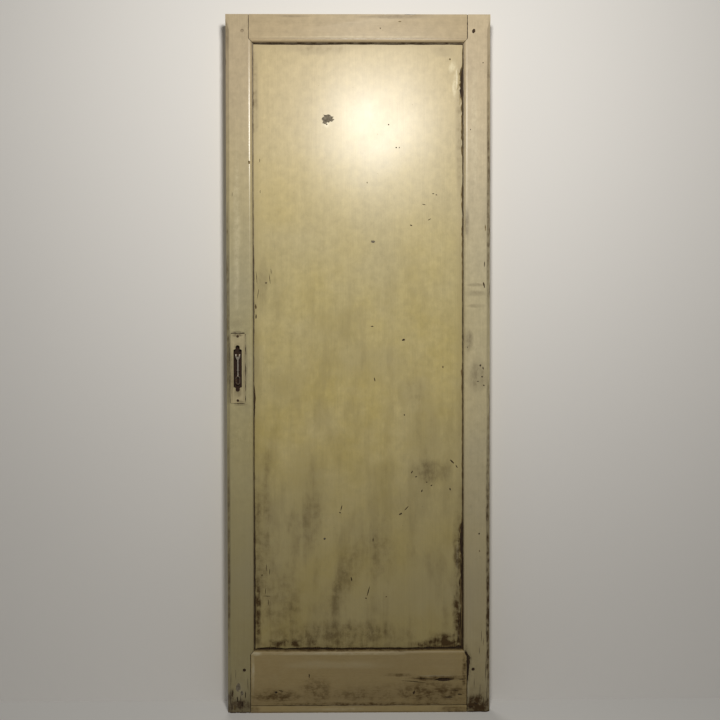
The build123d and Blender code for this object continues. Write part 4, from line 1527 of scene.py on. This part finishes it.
        rail_stains = {
            "top_rail": (
                Patch(110, 2008, 120, 8, 0.5),
                Patch(-180, 2009, 60, 5, 0.45),
                Patch(0, 1946, 320, 4, 0.3),
            ),
            "bottom_rail": (
                Patch(200, 60, 150, 34, 0.5),
                Patch(-230, 50, 90, 24, 0.45),
                Patch(-120, 66, 50, 44, 0.4),
                Patch(20, 54, 110, 26, 0.35),
                Patch(230, 99, 100, 10, 0.75),
                Patch(120, 108, 60, 7, 0.5),
                Patch(0, 25, 330, 7, 0.55),
                Patch(306, 120, 9, 60, 0.6),
                Patch(-60, 178, 300, 3, 0.5),
            ),
            "rail_strip": (
                Patch(280, 8, 50, 14, 0.6),
                Patch(-304, 10, 20, 14, 0.6),
                Patch(0, 20, 320, 2, 0.5),
            ),
        }
        rail_rubs_and_highlights = {
            "top_rail": (Patch(0, 1950, 300, 4, 0.3),),
            # On the bottom rail the pale patches are painted highlights on the moulding, the rounded left end and
            # above the split, with some worn-clean paint.
            "bottom_rail": (
                Patch(-60, 171, 250, 4, 0.75),
                Patch(-296, 172, 22, 7, 1.0),
                Patch(-307, 118, 6, 66, 0.8),
                Patch(226, 106, 54, 3, 0.9),
                Patch(-60, 140, 200, 16, 0.3),
            ),
            "rail_strip": (Patch(-60, 10, 120, 6, 0.3),),
        }
        cuts = {
            "top_rail": self.top_flaws,
            "bottom_rail": (*self.bottom_flaws, self.strip_joint),
            "rail_strip": (self.strip_joint,),
        }
        for seed, name in enumerate(rail_stains):
            rail = self.copy(name)
            low = name != "top_rail"
            enamel = OilEnamel(
                "oil_enamel_brushed_on_" + name,
                rail_stains[name],
                rail_rubs_and_highlights[name],
                grain_across=True,
                # The top rail's moulding faces down, so the foot of its moulding gets stronger painted shade.
                quirk_soot_and_shade=(0.0128, 0.6) if low else (0.0165, 0.93),
                cream="#beaa7c" if low else "#b9a982",
                ochre="#b49f6d" if low else "#b09f72",
                grey_cream="#ab9c78" if low else "#a89e80",
                warm_cream="#b4a181",
                soot_and_shade="#54401f" if low else "#47341a",
                low_soot_and_shade=0.1 if name == "rail_strip" else 0.37,
                floor_soot=0.05 if name == "rail_strip" else 0.15,
                streaky=0.7,
            ).material()
            finishes = (enamel, palette.primer, palette.cross_timber, palette.dark)
            joints = (*opened[-1][name], *opened[1][name])
            self.hurt(rail, (*cuts[name], *joints), self.face, 31 + seed, finishes)
            self.hurt(rail, joints, -self.face, 51 + seed, finishes)
            self.bare(rail, self._is_end, 2)
            self.finish(rail, "painted_wood", *finishes)


@dataclass
class Joinery(SubAssembly):
    """Pegs, wedges and nails that hold the frame together."""

    def build(self, palette: Palette) -> None:
        """Dress the pegs, wedges and strip nails.

        Args:
            palette: The shared finishes, of which this needs none.
        """
        peg_wood = OldTimber("beech_peg_brown_with_age", "#4a3420", "#23170d", "Y", 2.0).material()
        painted = OilEnamel(
            "oil_enamel_over_peg", (Patch(-332, 1967.5, 8, 8, 1.0),), quirk_soot_and_shade=None, cream="#8d7f60"
        ).material()
        wedge_wood = OldTimber("pine_wedge_end_grain", "#9a7a4c", "#5c4020", "X", 2.5).material()
        nail_steel = OldIron("wire_nail_rusted", "#4a4440", rusted=0.7, bloom_mm=3.0).material()
        for name in sorted(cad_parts):
            if name.startswith("peg_"):
                self.finish(self.copy(name), "bare_wood", painted if name == "peg_top_left" else peg_wood)
            elif "_wedge_" in name:
                self.finish(self.copy(name), "bare_wood", wedge_wood)
            elif name.startswith("strip_nail_"):
                self.finish(self.copy(name), "lock_steel", nail_steel)


@dataclass
class FlushPulls(SubAssembly):
    """The two sunk pulls, their plates painted over with the leaf and their cups rusty, and their screws."""

    def build(self, palette: Palette) -> None:
        """Dress the pulls and their screws.

        Args:
            palette: The shared finishes, of which this needs none.
        """
        iron = OldIron(
            "cast_iron_rusty_in_the_cup",
            metal="#241e18", rust="#1b1109", bright_rust="#40260f", rusted=0.78, roughness=0.6,
        ).material()
        stains_and_shade = (
            Patch(-348, 1096, 22, 6, 0.8),
            Patch(-330, 1000, 4, 100, 0.6),
            Patch(-365, 980, 5, 90, 0.6),
            Patch(-348, 930, 14, 16, 0.5),
            Patch(-348, 1064, 12, 12, 0.4),
            Patch(-340, 904, 16, 5, 0.5),
        )
        enamel = OilEnamel("oil_enamel_over_cast_iron", stains_and_shade, quirk_soot_and_shade=None).material()
        screw = OldIron("slotted_screw_dark_under_dirt", "#3b332b", rusted=0.5, bloom_mm=2.5).material()
        for side in ("front", "back"):
            pull = self.copy(side + "_pull")
            self.bare(pull, lambda centre, normal: abs(normal.y) > 0.6 and abs(centre.y) > 0.0185, 1)
            self.finish(pull, "cast_iron_pull", iron, enamel)
            for end in ("lower", "upper"):
                self.finish(self.copy(f"{side}_pull_screw_{end}"), "lock_steel", screw)


@dataclass
class FoldingKey(SubAssembly):
    """The key that folds down into the front cup: shank in the leaf, bow and pin on their own body."""

    def build(self, palette: Palette) -> None:
        """Dress the key.

        Args:
            palette: The shared finishes, of which this needs none.
        """
        steel = OldIron(
            "forged_steel_key_rubbed_by_hands",
            metal="#c2b8a8", rust="#5d4630", bright_rust="#8a6a48", rusted=0.26, roughness=0.42, bloom_mm=4.0,
        ).material()
        ring = OldIron(
            "forged_steel_ring_brown",
            metal="#8a8072", rust="#43301f", bright_rust="#6d5034", rusted=0.48, roughness=0.45, bloom_mm=4.0,
        ).material()
        # The shank and pin are a darker steel: rust, and painted shade of the cup they sit in.
        dark = OldIron(
            "forged_steel_shank_dark", metal="#3a322c", rust="#20130d", rusted=0.7, bloom_mm=3.0
        ).material()
        self.finish(self.copy("key_shank"), "key_steel", dark)
        self.body = "bow"
        bow = self.copy("key_bow")
        self.bare(bow, lambda centre, normal: centre.z < 0.980, 1)
        self.finish(bow, "key_steel", steel, ring)
        self.finish(self.copy("key_pin"), "key_steel", dark)


@dataclass
class HookLock(SubAssembly):
    """The hook lock let into the closing edge, with its forend, screws and swinging hook."""

    def build(self, palette: Palette) -> None:
        """Dress the lock.

        Args:
            palette: The shared finishes, of which this needs none.
        """
        steel = OldIron(
            "mild_steel_lock_plate_dulled", "#77716a", rusted=0.42, roughness=0.42, bloom_mm=9.0
        ).material()
        bolt = OldIron(
            "steel_hook_bolt_greased", "#8b857c", rusted=0.25, roughness=0.35, bloom_mm=7.0
        ).material()
        for name in sorted(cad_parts):
            if name.startswith(("lock_", "forend_screw", "cover_screw", "hook_stud", "spring_washer")):
                self.finish(self.copy(name), "lock_steel", steel)
        self.body = "hook"
        self.finish(self.copy("hook_bolt"), "lock_steel", bolt)


@dataclass
class Studio:
    """Pale floor and wall, soft lamps and the camera, at the photograph's angle."""

    wall_y: float = 0.078
    wall_half_width: float = 3.0
    wall_height: float = 3.4
    lamp_place: tuple[float, float, float] = (0.085, -1.7, 2.066)
    lamp_width: float = 0.28
    lamp_watts: float = 27.5
    lamp_aim: tuple[float, float, float] = (0.03, 0.0, 1.75)
    fill: float = 0.11
    camera_place: tuple[float, float, float] = (-0.0221, -2.9027, 1.0803)
    camera_turn: tuple[float, float, float] = (-1.119, 0.528, -0.076)
    focal_length: float = 50.0

    def build(self) -> None:
        """Set up floor, wall, lamps, sky and camera."""
        self._surfaces()
        self._lamps()
        self._camera()

    def _surfaces(self) -> None:
        """Lay the floor and put up the wall."""
        bpy.ops.object.select_all(action="DESELECT")
        bpy.ops.mesh.primitive_plane_add(size=9.0, location=(0, 0, 0))
        floor = bpy.context.object
        floor.name = "pale_floor"
        floor.data.materials.append(ShopWall("pale_floor_paint", "#dedcd8").material())
        bpy.ops.object.select_all(action="DESELECT")
        bpy.ops.mesh.primitive_plane_add(size=2.0, rotation=(math.pi / 2, 0, 0))
        wall = bpy.context.object
        wall.name = "pale_wall"
        wall.data.transform(Matrix.Diagonal((self.wall_half_width, self.wall_height / 2, 1.0, 1.0)))
        wall.location = (0.0, self.wall_y, self.wall_height / 2)
        wall.data.materials.append(ShopWall("pale_wall_paint", "#efedea", one_sided=True).material())
        wall.visible_diffuse = False
        wall.visible_glossy = False
        wall.visible_shadow = False
        wall.visible_transmission = False

    def _lamps(self) -> None:
        """Hang the front lamp, the weaker one behind and the even sky."""
        for name, place, aim, width, watts in (
            ("front_lamp", self.lamp_place, self.lamp_aim, self.lamp_width, self.lamp_watts),
            ("back_lamp", (-0.6, 2.8, 2.4), (0.0, 0.0, 1.1), 1.6, 42.0),
        ):
            data = bpy.data.lights.new(name, "AREA")
            data.shape = "DISK"
            data.size = width
            data.energy = watts
            data.color = linear("#fffcf6")[:3]
            lamp = bpy.data.objects.new(name, data)
            bpy.context.scene.collection.objects.link(lamp)
            lamp.location = place
            lamp.rotation_euler = (Vector(aim) - Vector(place)).to_track_quat("-Z", "Y").to_euler()
            lamp.visible_camera = False
        world = bpy.data.worlds.new("pale_room")
        bpy.context.scene.world = world
        world.use_nodes = True
        tree = world.node_tree
        tree.nodes.clear()
        seen = node(tree, "LightPath").outputs["Is Camera Ray"]
        strength = node(tree, "MapRange", {"To Min": self.fill, "To Max": 1.0}, {"Value": seen})
        sky = node(tree, "Background", {"Color": linear("#ffffff")}, {"Strength": strength})
        node(tree, "OutputWorld", links={"Surface": sky})

    def _camera(self) -> None:
        """Set the camera where the photograph was taken from."""
        data = bpy.data.cameras.new("camera")
        data.lens = self.focal_length
        data.sensor_width = 36.0
        camera = bpy.data.objects.new("camera", data)
        bpy.context.scene.collection.objects.link(camera)
        bpy.context.scene.camera = camera
        pitch, yaw, roll = (math.radians(angle) for angle in self.camera_turn)
        ahead = Vector((math.sin(yaw) * math.cos(pitch), math.cos(yaw) * math.cos(pitch), math.sin(pitch)))
        right = ahead.cross(Vector((0, 0, 1))).normalized()
        up = right.cross(ahead)
        right, up = (
            math.cos(roll) * right + math.sin(roll) * up,
            -math.sin(roll) * right + math.cos(roll) * up,
        )
        turned = Matrix((right, up, -ahead)).transposed().to_4x4()
        camera.matrix_world = Matrix.Translation(self.camera_place) @ turned


def main() -> None:
    """Build the door leaf and its set, in order."""
    logging.basicConfig(level=logging.INFO, format="%(name)s %(message)s")
    bpy.context.scene.view_settings.view_transform = "Standard"
    palette = Palette(
        primer=Undercoat().material(),
        timber=OldTimber("pine_laid_bare", "#7f6a41", "#413317").material(),
        cross_timber=OldTimber("pine_laid_bare_across", "#7f6a41", "#413317", "X").material(),
        end_grain=OldTimber("pine_end_grain_dusty", "#8d7750", "#4f3a22", "Z", 2.5).material(),
        dark=OldTimber("soot_in_open_joints", "#453118", "#21160a").material(),
    )
    Studio().build()
    for part in (Panel(), FrameTimbers(), Joinery(), FlushPulls(), FoldingKey(), HookLock()):
        part.build(palette)


if __name__ == "__main__":
    main()
